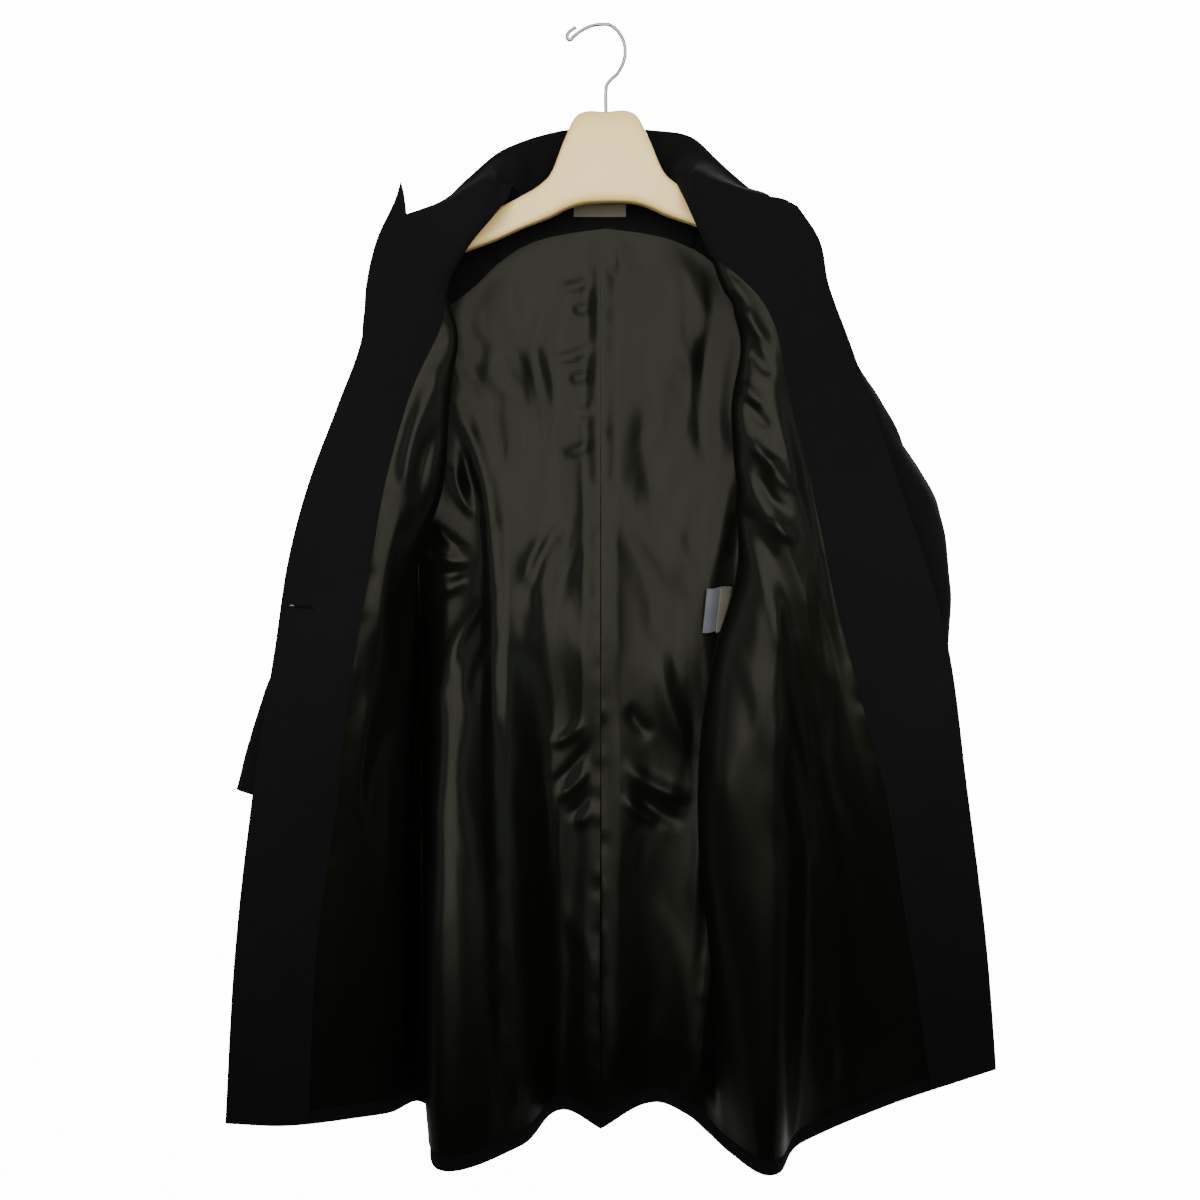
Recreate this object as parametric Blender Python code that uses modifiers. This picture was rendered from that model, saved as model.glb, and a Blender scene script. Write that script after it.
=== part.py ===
"""A women's wool coat on a broad plastic suit hanger, both fronts swung open.

Metres, +Z up. The origin is the inside top of the wire hook, where a rail would carry it. The
camera side is -Y, and X runs across the shoulders. Left and right are the wearer's, so the
wearer's right front lies at -X.
"""
import math
from collections import namedtuple

import bmesh
import bpy
import numpy as np

# Cloth walls and the gaps between pieces.
WOOL = 0.0018
LINING = 0.0010
LABEL = 0.0006
SEAM_GAP = 0.0003
HEM_STEP = 0.015            # the wool hem shows this far below the lining
CAP_DEPTH = 0.034           # how far below the shoulder seam the cloth has rolled over the arm
# Drop of the armhole's lower edge, by the share of the way from the back seam to the side seam.
ARMHOLE_CURVE = ((0.0, 0.345), (0.18, 0.366), (0.36, 0.382), (0.56, 0.392), (0.78, 0.383), (1.0, 0.356))
SLEEVE_GAP = 0.0024         # the sleeve starts this far out from the armhole's cut edge
TURN_LENGTH = 0.020         # a radian of turning counts as this much cloth when strips are shared out

# How many strips each stretch of a half is cut into, across and down.
BACK_STRIPS = 8
SIDE_STRIPS = 8
FRONT_STRIPS = 7
FACING_STRIPS = 9
CAP_ROWS = 4
CHEST_ROWS = 4
SKIRT_SHARES = (0, 0.035, 0.08, 0.14, 0.23, 0.35, 0.49, 0.65, 0.82, 1)
SKIRT_ROWS = len(SKIRT_SHARES) - 1
SLEEVE_SIDES = 2 * (CAP_ROWS + CHEST_ROWS) + SIDE_STRIPS

# Hanger and hook.
WIRE = 0.0034
STEM_HOLE_DEPTH = 0.022
HANGER_TOP = 0.0819         # drop at which the wire enters the hanger

# Button and labels.
BUTTON_WIDTH = 0.023
BUTTON_THICKNESS = 0.0036
BUTTON_DROP = 0.545
BUTTON_PLACE = 7.62         # counted in named points, near the front edge
SHANK = 0.0006              # thread between the button and the wool
NECK_LABEL_ENDS = (-0.0305, 0.0190)
NECK_LABEL_DROPS = (0.1655, 0.1715, 0.1775)
NECK_LABEL_THICKNESS = 0.0007
NECK_LABEL_OFF = 0.0004     # the label stands this far off the band, past the seam gap
CARE_LABEL_DROPS = (0.524, 0.566)
CARE_LABEL_LEVELS = 4

# A half is a curve at each height, through named points, from the centre back round to the
# front edge. Each point is (distance out from the middle, depth away from the camera), and
# drop is the height below the hook. The front rolls back on itself at "roll".
RightRow = namedtuple("RightRow", "drop centre hollow fold_in fold_out valley roll front flare edge")
RIGHT_ROWS = [
    RightRow(0.14, (.005, .034), (.035, .030), (.064, .020), (.098, .006), (.206, -.004), (.088, -.034),
             (.118, -.050), (.150, -.050), (.183, -.045)),
    RightRow(0.17, (.005, .036), (.040, .034), (.075, .028), (.118, .016), (.206, -.004), (.095, -.040),
             (.132, -.054), (.162, -.053), (.190, -.050)),
    RightRow(0.21, (.005, .038), (.045, .038), (.090, .036), (.140, .028), (.206, -.002), (.125, -.048),
             (.154, -.058), (.182, -.056), (.2075, -.053)),
    RightRow(0.25, (.005, .040), (.050, .042), (.098, .042), (.145, .036), (.203, .000), (.146, -.054),
             (.170, -.062), (.194, -.059), (.2165, -.055)),
    RightRow(0.30, (.005, .041), (.052, .044), (.103, .046), (.146, .040), (.196, .004), (.139, -.055),
             (.168, -.064), (.194, -.061), (.2205, -.058)),
    RightRow(0.36, (.005, .041), (.052, .045), (.106, .047), (.146, .040), (.188, .010), (.146, -.055),
             (.186, -.066), (.214, -.063), (.242, -.060)),
    RightRow(0.43, (.005, .040), (.052, .045), (.104, .044), (.145, .036), (.184, .018), (.153, -.050),
             (.200, -.066), (.234, -.064), (.268, -.062)),
    RightRow(0.50, (.005, .038), (.050, .044), (.100, .038), (.145, .024), (.182, .030), (.178, -.036),
             (.212, -.064), (.249, -.064), (.2865, -.062)),
    RightRow(0.58, (.005, .036), (.050, .042), (.098, .026), (.148, .006), (.176, .038), (.186, -.018),
             (.222, -.060), (.260, -.061), (.2990, -.060)),
    RightRow(0.70, (.005, .038), (.048, .044), (.092, .010), (.150, -.020), (.176, .040), (.194, -.010),
             (.235, -.046), (.277, -.052), (.319, -.051)),
    RightRow(0.85, (.005, .026), (.046, .036), (.084, -.014), (.152, -.046), (.175, .036), (.197, -.004),
             (.245, -.030), (.292, -.036), (.339, -.034)),
    RightRow(1.03, (.005, -.005), (.042, .020), (.078, -.034), (.150, -.068), (.174, .030), (.203, .004),
             (.240, -.012), (.296, -.022), (.352, -.020)),
]
LeftRow = namedtuple("LeftRow", "drop centre hollow back valley roll crest trough flare edge")
LEFT_ROWS = [
    LeftRow(0.14, (-.005, .034), (.035, .030), (.078, .018), (.206, -.004), (.066, -.030), (.092, -.046),
            (.122, -.052), (.144, -.050), (.162, -.043)),
    LeftRow(0.17, (-.005, .036), (.040, .034), (.092, .026), (.206, -.004), (.075, -.038), (.105, -.052),
            (.134, -.054), (.152, -.053), (.168, -.045)),
    LeftRow(0.21, (-.005, .038), (.045, .038), (.105, .035), (.206, -.002), (.091, -.050), (.122, -.060),
            (.150, -.057), (.172, -.055), (.193, -.052)),
    LeftRow(0.25, (-.005, .040), (.050, .042), (.110, .040), (.203, .000), (.110, -.055), (.135, -.064),
            (.160, -.060), (.181, -.058), (.2010, -.055)),
    LeftRow(0.30, (-.005, .041), (.052, .044), (.112, .044), (.196, .004), (.126, -.055), (.150, -.066),
            (.175, -.061), (.197, -.060), (.219, -.057)),
    LeftRow(0.36, (-.005, .041), (.052, .045), (.112, .045), (.186, .010), (.119, -.055), (.148, -.066),
            (.180, -.062), (.210, -.062), (.240, -.060)),
    LeftRow(0.43, (-.005, .040), (.052, .045), (.112, .044), (.176, .020), (.121, -.054), (.150, -.066),
            (.186, -.062), (.224, -.063), (.263, -.062)),
    LeftRow(0.50, (-.005, .038), (.050, .044), (.110, .044), (.168, .032), (.126, -.050), (.152, -.066),
            (.192, -.060), (.240, -.063), (.287, -.062)),
    LeftRow(0.58, (-.005, .036), (.050, .043), (.104, .046), (.155, .040), (.105, -.044), (.148, -.064),
            (.192, -.050), (.250, -.060), (.309, -.060)),
    LeftRow(0.70, (-.005, .038), (.048, .046), (.090, .046), (.135, .040), (.088, -.038), (.147, -.062),
            (.188, -.034), (.257, -.048), (.3266, -.052)),
    LeftRow(0.85, (-.005, .026), (.046, .040), (.080, .036), (.114, .020), (.099, -.036), (.150, -.064),
            (.184, -.018), (.265, -.016), (.349, -.032)),
    LeftRow(1.03, (-.005, -.005), (.045, .029), (.075, .014), (.092, -.006), (.112, -.036), (.146, -.070),
            (.180, -.004), (.272, .018), (.3685, .000)),
]

SHOULDER_TIP = (0.206, 0.198)
LAPEL_LEAVES = 0.50         # named points past the neck point by which the lapel is clear of the seam
CHEST_DROP = 0.262          # every front column has a row at this drop
NECK_RISE = 0.020           # the neck seam climbs to the neck point over this length
NECK_TURN = 0.010           # how far the lapel stands out from the neck point where it turns over
HEAD_SHAPE = (1.0, 0.75, 0.40)      # how far the sleeve's first rings keep the armhole's depth
NECK_COLUMN = 4             # the front's column that ends at the neck point
TURN_SHARES = (0.0, 0.28, 0.60, 1.0)
FULL_COLLAR = 0.055         # where the collar is narrower than this it stands straight off its seam
COLLAR_LIFT = 0.0022        # the collar stands this far above the neck edge, over its thickness
SHOULDER_DEPTH = -0.002
BACK_NECK_DROP = 0.163
LINING_TOP = ((0.0, .184), (0.07, .193), (0.10, .212), (0.14, .232), (0.22, .262))

# Where the seams run, counted in named points from the centre back (0) to the edge (8).
SeamRow = namedtuple("SeamRow", "drop back_seam side_seam facing")
RIGHT_SEAMS = [
    SeamRow(0.14, 4.00, 4.00, 5.45),
    SeamRow(0.20, 4.00, 4.00, 5.45),
    SeamRow(0.23, 3.85, 4.18, 5.45),
    SeamRow(0.26, 3.70, 4.35, 5.48),
    SeamRow(0.31, 3.32, 4.45, 5.72),
    SeamRow(0.345, 3.10, 4.47, 5.82),
    SeamRow(0.38, 2.55, 4.49, 5.89),
    SeamRow(0.43, 2.25, 4.50, 5.98),
    SeamRow(0.50, 2.20, 4.50, 6.00),
    SeamRow(0.62, 2.22, 4.50, 6.17),
    SeamRow(0.72, 2.24, 4.50, 6.20),
    SeamRow(0.81, 2.25, 4.50, 6.36),
    SeamRow(0.90, 2.25, 4.50, 6.49),
    SeamRow(1.03, 2.25, 4.50, 6.64),
]
LEFT_SEAMS = [
    SeamRow(0.14, 3.00, 3.00, 4.60),
    SeamRow(0.20, 3.00, 3.00, 4.70),
    SeamRow(0.23, 2.92, 3.15, 4.82),
    SeamRow(0.26, 2.84, 3.30, 5.00),
    SeamRow(0.31, 2.66, 3.48, 5.20),
    SeamRow(0.345, 2.56, 3.55, 5.48),
    SeamRow(0.38, 2.42, 3.66, 5.70),
    SeamRow(0.42, 2.30, 3.88, 5.92),
    SeamRow(0.46, 2.24, 4.25, 6.04),
    SeamRow(0.50, 2.20, 4.97, 6.14),
    SeamRow(0.62, 2.30, 5.60, 6.64),
    SeamRow(0.72, 2.40, 6.12, 6.98),
    SeamRow(0.81, 2.45, 6.34, 7.12),
    SeamRow(0.90, 2.50, 6.45, 7.25),
    SeamRow(1.03, 2.60, 6.56, 7.40),
]

# Drop of the wool's hem at each named point.
RIGHT_HEM = (1.029, 1.018, 1.036, 1.049, 1.014, 1.016, 1.018, 1.0216, 1.0198)
LEFT_HEM = (1.029, 1.0134, 1.0206, 1.030, 1.042, 1.053, 1.043, 1.0105, 0.9719)

# Drop of the gorge seam and of the lapel's top edge, past the neck point.
RIGHT_GORGE = ((5.0, .1495), (5.2, .1500), (5.45, .1580), (5.7, .1660), (6.0, .174), (7.0, .184),
               (7.4, .187), (7.7, .173), (8.0, .1564))
LEFT_GORGE = ((4.0, .1425), (4.2, .1430), (4.45, .1500), (4.7, .1575), (5.0, .1625), (6.0, .167),
              (6.75, .169), (7.4, .1715), (8.0, .1774))

# The collar's free edge: share of the way from the centre back to the notch.
CollarRow = namedtuple("CollarRow", "share out depth drop")
RIGHT_COLLAR = [
    CollarRow(0.00, 0.005, 0.045, 0.0843),
    CollarRow(0.20, 0.040, 0.043, 0.0870),
    CollarRow(0.40, 0.078, 0.036, 0.0985),
    CollarRow(0.55, 0.103, 0.024, 0.1115),
    CollarRow(0.70, 0.128, 0.006, 0.1355),
    CollarRow(0.85, 0.152, -0.030, 0.1600),
    CollarRow(1.00, 0.1735, -0.050, 0.1750),
]
LEFT_COLLAR = [
    CollarRow(0.00, -0.005, 0.045, 0.0843),
    CollarRow(0.20, 0.042, 0.043, 0.0865),
    CollarRow(0.40, 0.082, 0.036, 0.0950),
    CollarRow(0.55, 0.103, 0.026, 0.1100),
    CollarRow(0.70, 0.118, 0.011, 0.1270),
    CollarRow(0.85, 0.134, -0.018, 0.1460),
    CollarRow(1.00, 0.1460, -0.046, 0.1590),
]

# Sleeves: the outer and the inner end of each ring, its depth and its half thickness.
SleeveRow = namedtuple("SleeveRow", "outer_out outer_drop inner_out inner_drop depth half")
RIGHT_SLEEVE = [
    SleeveRow(0.225, 0.217, 0.1985, 0.396, 0.003, 0.043),
    SleeveRow(0.238, 0.250, 0.1990, 0.412, 0.012, 0.046),
    SleeveRow(0.247, 0.320, 0.1990, 0.436, 0.016, 0.049),
    SleeveRow(0.255, 0.400, 0.1990, 0.470, 0.018, 0.050),
    SleeveRow(0.268, 0.480, 0.2010, 0.520, 0.017, 0.049),
    SleeveRow(0.293, 0.560, 0.2090, 0.580, 0.013, 0.044),
    SleeveRow(0.321, 0.628, 0.2180, 0.650, 0.006, 0.035),
    SleeveRow(0.3456, 0.7125, 0.2280, 0.738, 0.002, 0.027),
]
LEFT_SLEEVE = [
    SleeveRow(0.225, 0.217, 0.1985, 0.396, 0.003, 0.043),
    SleeveRow(0.238, 0.284, 0.1990, 0.412, 0.012, 0.046),
    SleeveRow(0.264, 0.350, 0.2000, 0.440, 0.016, 0.049),
    SleeveRow(0.290, 0.395, 0.2030, 0.468, 0.018, 0.050),
    SleeveRow(0.3195, 0.446, 0.2080, 0.506, 0.017, 0.048),
    SleeveRow(0.3215, 0.520, 0.2120, 0.560, 0.014, 0.044),
    SleeveRow(0.3170, 0.620, 0.2060, 0.640, 0.008, 0.035),
    SleeveRow(0.3100, 0.728, 0.1900, 0.740, 0.004, 0.027),
]

# The hanger's shoulder arm, from the middle out: top, bottom, depth and half thickness.
ArmRow = namedtuple("ArmRow", "out top bottom depth half")
HANGER_ROWS = [
    ArmRow(0.000, 0.0810, 0.1644, 0.000, 0.0120),
    ArmRow(0.022, 0.0812, 0.1655, 0.000, 0.0120),
    ArmRow(0.030, 0.0870, 0.1672, 0.000, 0.0118),
    ArmRow(0.040, 0.1080, 0.1708, 0.000, 0.0115),
    ArmRow(0.052, 0.1370, 0.1770, -0.001, 0.0106),
    ArmRow(0.063, 0.1485, 0.1815, -0.002, 0.0096),
    ArmRow(0.080, 0.1585, 0.1880, -0.003, 0.0085),
    ArmRow(0.105, 0.1705, 0.1985, -0.002, 0.0088),
    ArmRow(0.135, 0.1820, 0.2090, -0.002, 0.0085),
    ArmRow(0.155, 0.1900, 0.2160, -0.002, 0.0078),
    ArmRow(0.172, 0.1970, 0.2190, -0.002, 0.0062),
    ArmRow(0.178, 0.2030, 0.2150, -0.002, 0.0040),
]
HANGER_TILT = math.radians(1.0)     # the wearer's right arm sits a little lower

# The hook's wire, from inside the neck block up and round to its turned tip: across, drop.
HOOK_ROUTE = [
    (0.000, 0.1010), (0.000, 0.0820), (0.000, 0.0600), (0.001, 0.0545), (0.005, 0.0495), (0.010, 0.0450),
    (0.0145, 0.0380), (0.0175, 0.0290), (0.0178, 0.0200), (0.0152, 0.0110), (0.0100, 0.0035),
    (0.0030, -0.0014), (-0.0050, -0.0017), (-0.0140, -0.0002), (-0.0220, 0.0035), (-0.0290, 0.0085),
    (-0.0340, 0.0130),
]
HOOK_TIP = [(-0.0362, 0.0110), (-0.0356, 0.0068), (-0.0322, 0.0035), (-0.0280, 0.0008)]


def colour(hex_code):
    """Turn an sRGB hex colour to linear red, green, blue and alpha."""
    channels = [int(hex_code[i:i + 2], 16) / 255 for i in (1, 3, 5)]
    linear = [c / 12.92 if c <= 0.04045 else ((c + 0.055) / 1.055) ** 2.4 for c in channels]
    return (*linear, 1.0)


def material(name, hex_code, roughness, metallic=0.0):
    """Make a Principled material of one colour."""
    made = bpy.data.materials.new(name)
    made.use_nodes = True
    shader = made.node_tree.nodes["Principled BSDF"]
    shader.inputs["Base Color"].default_value = colour(hex_code)
    shader.inputs["Roughness"].default_value = roughness
    shader.inputs["Metallic"].default_value = metallic
    return made


def smooth_value(places, values, place):
    """Read a table at a place between its rows, on a smooth curve through them."""
    places = np.asarray(places, float)
    values = np.asarray(values, float)
    place = min(max(place, places[0]), places[-1])
    k = min(np.searchsorted(places, place, side="right") - 1, len(places) - 2)
    steps = np.diff(places)
    slopes = np.diff(values, axis=0) / steps.reshape((-1,) + (1,) * (values.ndim - 1))
    tangents = np.concatenate([slopes[:1], (slopes[:-1] + slopes[1:]) / 2, slopes[-1:]])
    t = (place - places[k]) / steps[k]
    return ((2 * t**3 - 3 * t**2 + 1) * values[k] + (t**3 - 2 * t**2 + t) * steps[k] * tangents[k]
            + (-2 * t**3 + 3 * t**2) * values[k + 1] + (t**3 - t**2) * steps[k] * tangents[k + 1])


def round_curve(points, place):
    """Read a curve through the named points of a section, turning evenly at each of them."""
    last = len(points) - 1
    place = min(max(place, 0.0), float(last))
    k = min(int(place), last - 1)
    chords = np.diff(points, axis=0)
    lengths = np.linalg.norm(chords, axis=1)

    def tangent(n):
        if n == 0 or n == last:
            return chords[min(n, last - 1)]
        both = chords[n - 1] / lengths[n - 1] + chords[n] / lengths[n]
        bend = np.linalg.norm(both)
        return both / max(bend, 1e-6) * lengths[k] * (0.5 + 0.5 * bend / 2)

    t = place - k
    return ((2 * t**3 - 3 * t**2 + 1) * points[k] + (t**3 - 2 * t**2 + t) * tangent(k)
            + (-2 * t**3 + 3 * t**2) * points[k + 1] + (t**3 - t**2) * tangent(k + 1))


def ease(share):
    """Go from 0 to 1 with level ends."""
    share = min(max(share, 0.0), 1.0)
    return share * share * (3 - 2 * share)


# The first and last column of each stretch of a half.
BACK = (0, BACK_STRIPS)
SIDE = (BACK[1] + 1, BACK[1] + 1 + SIDE_STRIPS)
FRONT = (SIDE[1] + 1, SIDE[1] + 1 + FRONT_STRIPS)
FACING = (FRONT[1] + 1, FRONT[1] + 1 + FACING_STRIPS)
ARMHOLE_ROW = CAP_ROWS + CHEST_ROWS
LINING_ROW = ARMHOLE_ROW + SKIRT_ROWS
LAST_ROW = LINING_ROW + 1


class Half:
    """One half of the coat's body, as a smooth surface over (place round it, drop)."""

    def __init__(self, side, rows, seams, hem, gorge, neck, roll, notch, side_point):
        self.side = side
        self.drops = [row.drop for row in rows]
        self.table = np.array([row[1:] for row in rows])
        self.seam_drops = [row.drop for row in seams]
        self.seams = np.array([row[1:] for row in seams])
        self.hem = hem
        self.gorge = gorge
        self.neck = neck                # place of the neck point on the back
        self.roll = roll                # place of the neck point on the front
        self.notch = notch
        self.side_point = side_point    # place of the shoulder tip
        self.levels = np.linspace(0.14, 1.06, 60)
        shared = np.array([self.share_out(level) for level in self.levels])
        padded = np.concatenate([shared[:1].repeat(3, axis=0), shared, shared[-1:].repeat(3, axis=0)])
        self.shared_columns = sum(padded[k:k + len(shared)] for k in range(7)) / 7

    def flat_point(self, place, drop):
        """Give (out, depth) on the section curve, before the shoulder is rolled over."""
        return round_curve(smooth_value(self.drops, self.table, drop), place)

    def share_out(self, drop):
        """Place the columns at a drop so that strips are narrow where the cloth turns."""
        landmarks = smooth_value(self.drops, self.table, drop)
        back_seam, side_seam, facing = smooth_value(self.seam_drops, self.seams, drop)
        stretches = ((0.0, back_seam, BACK_STRIPS), (back_seam, side_seam, SIDE_STRIPS),
                     (side_seam, facing, FRONT_STRIPS), (facing, 8.0, FACING_STRIPS))
        columns = []
        for start, end, strips in stretches:
            places = np.linspace(start, end, 41)
            line = np.array([round_curve(landmarks, place) for place in places])
            steps = np.diff(line, axis=0)
            heading = np.unwrap(np.arctan2(steps[:, 1], steps[:, 0]))
            turning = np.abs(np.diff(heading, prepend=heading[0]))
            cost = np.linalg.norm(steps, axis=1) + TURN_LENGTH * turning + 1e-9
            run = np.concatenate([[0], np.cumsum(cost)])
            columns.append(np.interp(np.linspace(0, run[-1], strips + 1), run, places))
        return np.concatenate(columns)

    def shoulder_line(self, out):
        """Give the drop of the shoulder seam, which is straight from the neck to the tip."""
        neck_out, neck_drop = self.neck_spot()
        tip_out, tip_drop = SHOULDER_TIP
        return np.interp(out, (0.0, neck_out - NECK_RISE, neck_out, tip_out),
                         (BACK_NECK_DROP, BACK_NECK_DROP - 0.003, neck_drop, tip_drop))

    def neck_spot(self):
        """Give where the neck point lies: distance out and drop."""
        drop = self.gorge[0][1]
        return self.flat_point(self.roll, drop)[0], drop

    def top(self, place):
        """Give the drop of the panel's upper edge at a place."""
        if place > self.roll:
            return float(np.interp(place, *zip(*self.gorge)))
        drop = SHOULDER_TIP[1]
        for _ in range(12):
            drop = self.shoulder_line(self.flat_point(place, drop)[0])
        return float(drop)

    def cap_weight(self, place):
        """Say how far the upper edge is drawn on to the shoulder line: 0 free, 1 fully."""
        if place < self.side_point:
            return ease((place / self.neck - 0.83) / 0.17)
        return 1.0 - ease((place - self.roll) / LAPEL_LEAVES)

    def point(self, place, drop):
        """Give a point of the wool's inner face."""
        out, depth = self.flat_point(place, drop)
        below = min(max((drop - self.top(place)) / CAP_DEPTH, 0.0), 1.0)
        weight = self.cap_weight(place)
        fade = 1 - math.sin(below * math.pi / 2)
        depth += weight * fade * (SHOULDER_DEPTH - depth)
        if place > self.roll:
            out += NECK_TURN * 4 * weight * (1 - weight) * fade
        return np.array((self.side * out, depth, -drop))

    def inward(self, place, drop):
        """Give the unit normal on the lining's side."""
        step, fall = 0.02, 0.002
        across = self.point(place + step, drop) - self.point(place - step, drop)
        down = self.point(place, drop + fall) - self.point(place, drop - fall)
        normal = np.cross(across, down) * -self.side
        return normal / np.linalg.norm(normal)

    def shoulder_normal(self):
        """Give the direction that points down into the coat, square to the shoulder seam."""
        slope = np.array(SHOULDER_TIP) - np.array(self.neck_spot())
        slope /= np.linalg.norm(slope)
        return np.array((-self.side * slope[1], 0, -slope[0]))

    def columns(self, drop):
        """Give the place of every column of the grid at a drop, the centre back first."""
        low = np.array([np.interp(drop, self.levels, column) for column in self.shared_columns.T])
        back_seam = low[BACK_STRIPS]
        half_back = BACK_STRIPS // 2
        high = low.copy()
        high[:half_back + 1] = np.linspace(0, self.neck, half_back + 1)
        high[half_back:BACK_STRIPS + 1] = np.linspace(self.neck, back_seam, half_back + 1)
        facing = low[FRONT[1]]
        high[FRONT[0]:FRONT[0] + NECK_COLUMN + 1] = np.linspace(low[FRONT[0]], self.roll, NECK_COLUMN + 1)
        high[FRONT[0] + NECK_COLUMN:FACING[0]] = self.roll + (facing - self.roll) * np.array(TURN_SHARES)
        high[FACING[0]:-2] = np.linspace(facing, self.notch, FACING_STRIPS - 1)
        high[-2] = (self.notch + 8.0) / 2
        return low + (high - low) * (1 - ease((drop - 0.19) / 0.12))


RIGHT = Half(-1, RIGHT_ROWS, RIGHT_SEAMS, RIGHT_HEM, RIGHT_GORGE, neck=2.66, roll=5.0, notch=7.4,
             side_point=4.0)
LEFT = Half(1, LEFT_ROWS, LEFT_SEAMS, LEFT_HEM, LEFT_GORGE, neck=1.72, roll=4.0, notch=6.75,
            side_point=3.0)


def armhole_drop(column):
    """Give the drop of the row that the armhole's lower edge lies on."""
    share = min(max((column - SIDE[0]) / SIDE_STRIPS, 0.0), 1.0)
    return float(np.interp(share, *zip(*ARMHOLE_CURVE)))


def half_grid(half):
    """Lay out the whole half: a point and an inward normal at each row and column."""
    count = FACING[1] + 1
    places = half.columns(SHOULDER_TIP[1])
    hem_count = range(len(half.hem))
    for _ in range(3):
        tops = [half.top(place) for place in places]
        places = np.array([half.columns(max(top, 0.15))[c] for c, top in enumerate(tops)])
    low_places = half.columns(1.02)
    points = np.zeros((LAST_ROW + 1, count, 3))
    for c in range(count):
        top = half.top(places[c])
        out = abs(half.point(places[c], top)[0])
        split = CHEST_DROP if c > BACK[1] else max(float(np.interp(out, *zip(*LINING_TOP))), top + 0.012)
        hem = float(smooth_value(hem_count, half.hem, low_places[c]))
        under = armhole_drop(c)
        drops = np.concatenate([
            top + (split - top) * np.linspace(0, 1, CAP_ROWS + 1),
            np.linspace(split, under, CHEST_ROWS + 1)[1:],
            under + (hem - HEM_STEP - under) * np.array(SKIRT_SHARES[1:]),
            [hem]])
        for r, drop in enumerate(drops):
            place = places[c] if r == 0 else half.columns(drop)[c]
            points[r, c] = half.point(place, drop)
    normals = cloth_normals(points, half.side)
    for c, place in enumerate(places):
        weight = half.cap_weight(place) if place < half.roll - 0.01 else 0.0
        normals[0, c] = normals[0, c] * (1 - weight) + half.shoulder_normal() * weight
        normals[0, c] /= np.linalg.norm(normals[0, c])
    return points, normals


def facet_directions(points):
    """Give the unit direction of each cell of a grid."""
    facets = np.cross(points[:-1, 1:] - points[1:, :-1], points[1:, 1:] - points[:-1, :-1])
    return facets / np.maximum(np.linalg.norm(facets, axis=2, keepdims=True), 1e-12)


def add_to_corners(facets):
    """Sum the cells' directions at each point of their grid."""
    total = np.zeros((facets.shape[0] + 1, facets.shape[1] + 1, 3))
    for down in (slice(None, -1), slice(1, None)):
        for out in (slice(None, -1), slice(1, None)):
            total[down, out] += facets
    return total


def unit(vectors):
    """Scale vectors to length 1."""
    return vectors / np.maximum(np.linalg.norm(vectors, axis=-1, keepdims=True), 1e-12)


def cloth_normals(points, side):
    """Give each point of a half's grid the mean direction, lining side, of the cloth round it."""
    facets = facet_directions(points) * -side
    facets[:ARMHOLE_ROW, BACK[1]:FRONT[0]] = 0
    total = add_to_corners(facets)
    for first, second, top in ((BACK[1], SIDE[0], ARMHOLE_ROW), (SIDE[1], FRONT[0], ARMHOLE_ROW),
                               (FRONT[1], FACING[0], 0)):
        both = total[top:, first] + total[top:, second]
        total[top:, first] = both
        total[top:, second] = both
    return unit(total)


def draw_in(points, rows, columns, amount):
    """Cut a piece out of the grid and move its side edges in by amount, for the seam gap."""
    piece = points[rows[0]:rows[1] + 1, columns[0]:columns[1] + 1].copy()
    for edge, inside in ((0, 1), (-1, -2)):
        step = piece[:, inside] - piece[:, edge]
        run = unit(np.gradient(piece[:, edge], axis=0))
        piece[:, edge] += unit(step - run * np.sum(step * run, axis=1, keepdims=True)) * amount
    fall = piece[1] - piece[0]
    piece[0] += fall / np.maximum(np.linalg.norm(fall, axis=1, keepdims=True), 1e-6) * amount
    return piece


def add_object(name, mesh, look, smooth_angle=50):
    """Put a mesh in the coat's collection with its material."""
    made = bpy.data.objects.new(name, mesh)
    parts.objects.link(made)
    mesh.materials.append(look)
    mesh.shade_smooth()
    mesh.set_sharp_from_angle(angle=math.radians(smooth_angle))
    return made


def wall(name, near, far, look, smooth_angle=50):
    """Loft a closed wall between two grids of the same size."""
    rows, columns = near.shape[:2]
    build = bmesh.new()
    skins = [[[build.verts.new(point) for point in line] for line in grid] for grid in (near, far)]
    for skin in skins:
        for r in range(rows - 1):
            for c in range(columns - 1):
                a, b = skin[r][c], skin[r][c + 1]
                d, e = skin[r + 1][c], skin[r + 1][c + 1]
                build.faces.new((a, b, e))
                build.faces.new((a, e, d))
    rim = [(0, c) for c in range(columns)] + [(r, columns - 1) for r in range(1, rows)]
    rim += [(rows - 1, c) for c in range(columns - 2, -1, -1)] + [(r, 0) for r in range(rows - 2, 0, -1)]
    for here, there in zip(rim, rim[1:] + rim[:1]):
        (r, c), (r2, c2) = min(here, there), max(here, there)
        build.faces.new((skins[0][r][c], skins[0][r2][c2], skins[1][r2][c2]))
        build.faces.new((skins[0][r][c], skins[1][r2][c2], skins[1][r][c]))
    bmesh.ops.recalc_face_normals(build, faces=build.faces)
    mesh = bpy.data.meshes.new(name)
    build.to_mesh(mesh)
    build.free()
    return add_object(name, mesh, look, smooth_angle)


def panel(name, grid, rows, columns, start, thickness, look, end_gap=0.0):
    """Make one cut piece of a half: start is its near face's distance in from the wool's face."""
    points, normals = grid
    base = draw_in(points, rows, columns, SEAM_GAP)
    lean = normals[rows[0]:rows[1] + 1, columns[0]:columns[1] + 1]
    if end_gap:
        step = base[-2] - base[-1]
        base[-1] += step / np.linalg.norm(step, axis=1, keepdims=True) * end_gap
    return wall(name, base + lean * start, base + lean * (start + thickness), look)


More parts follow.
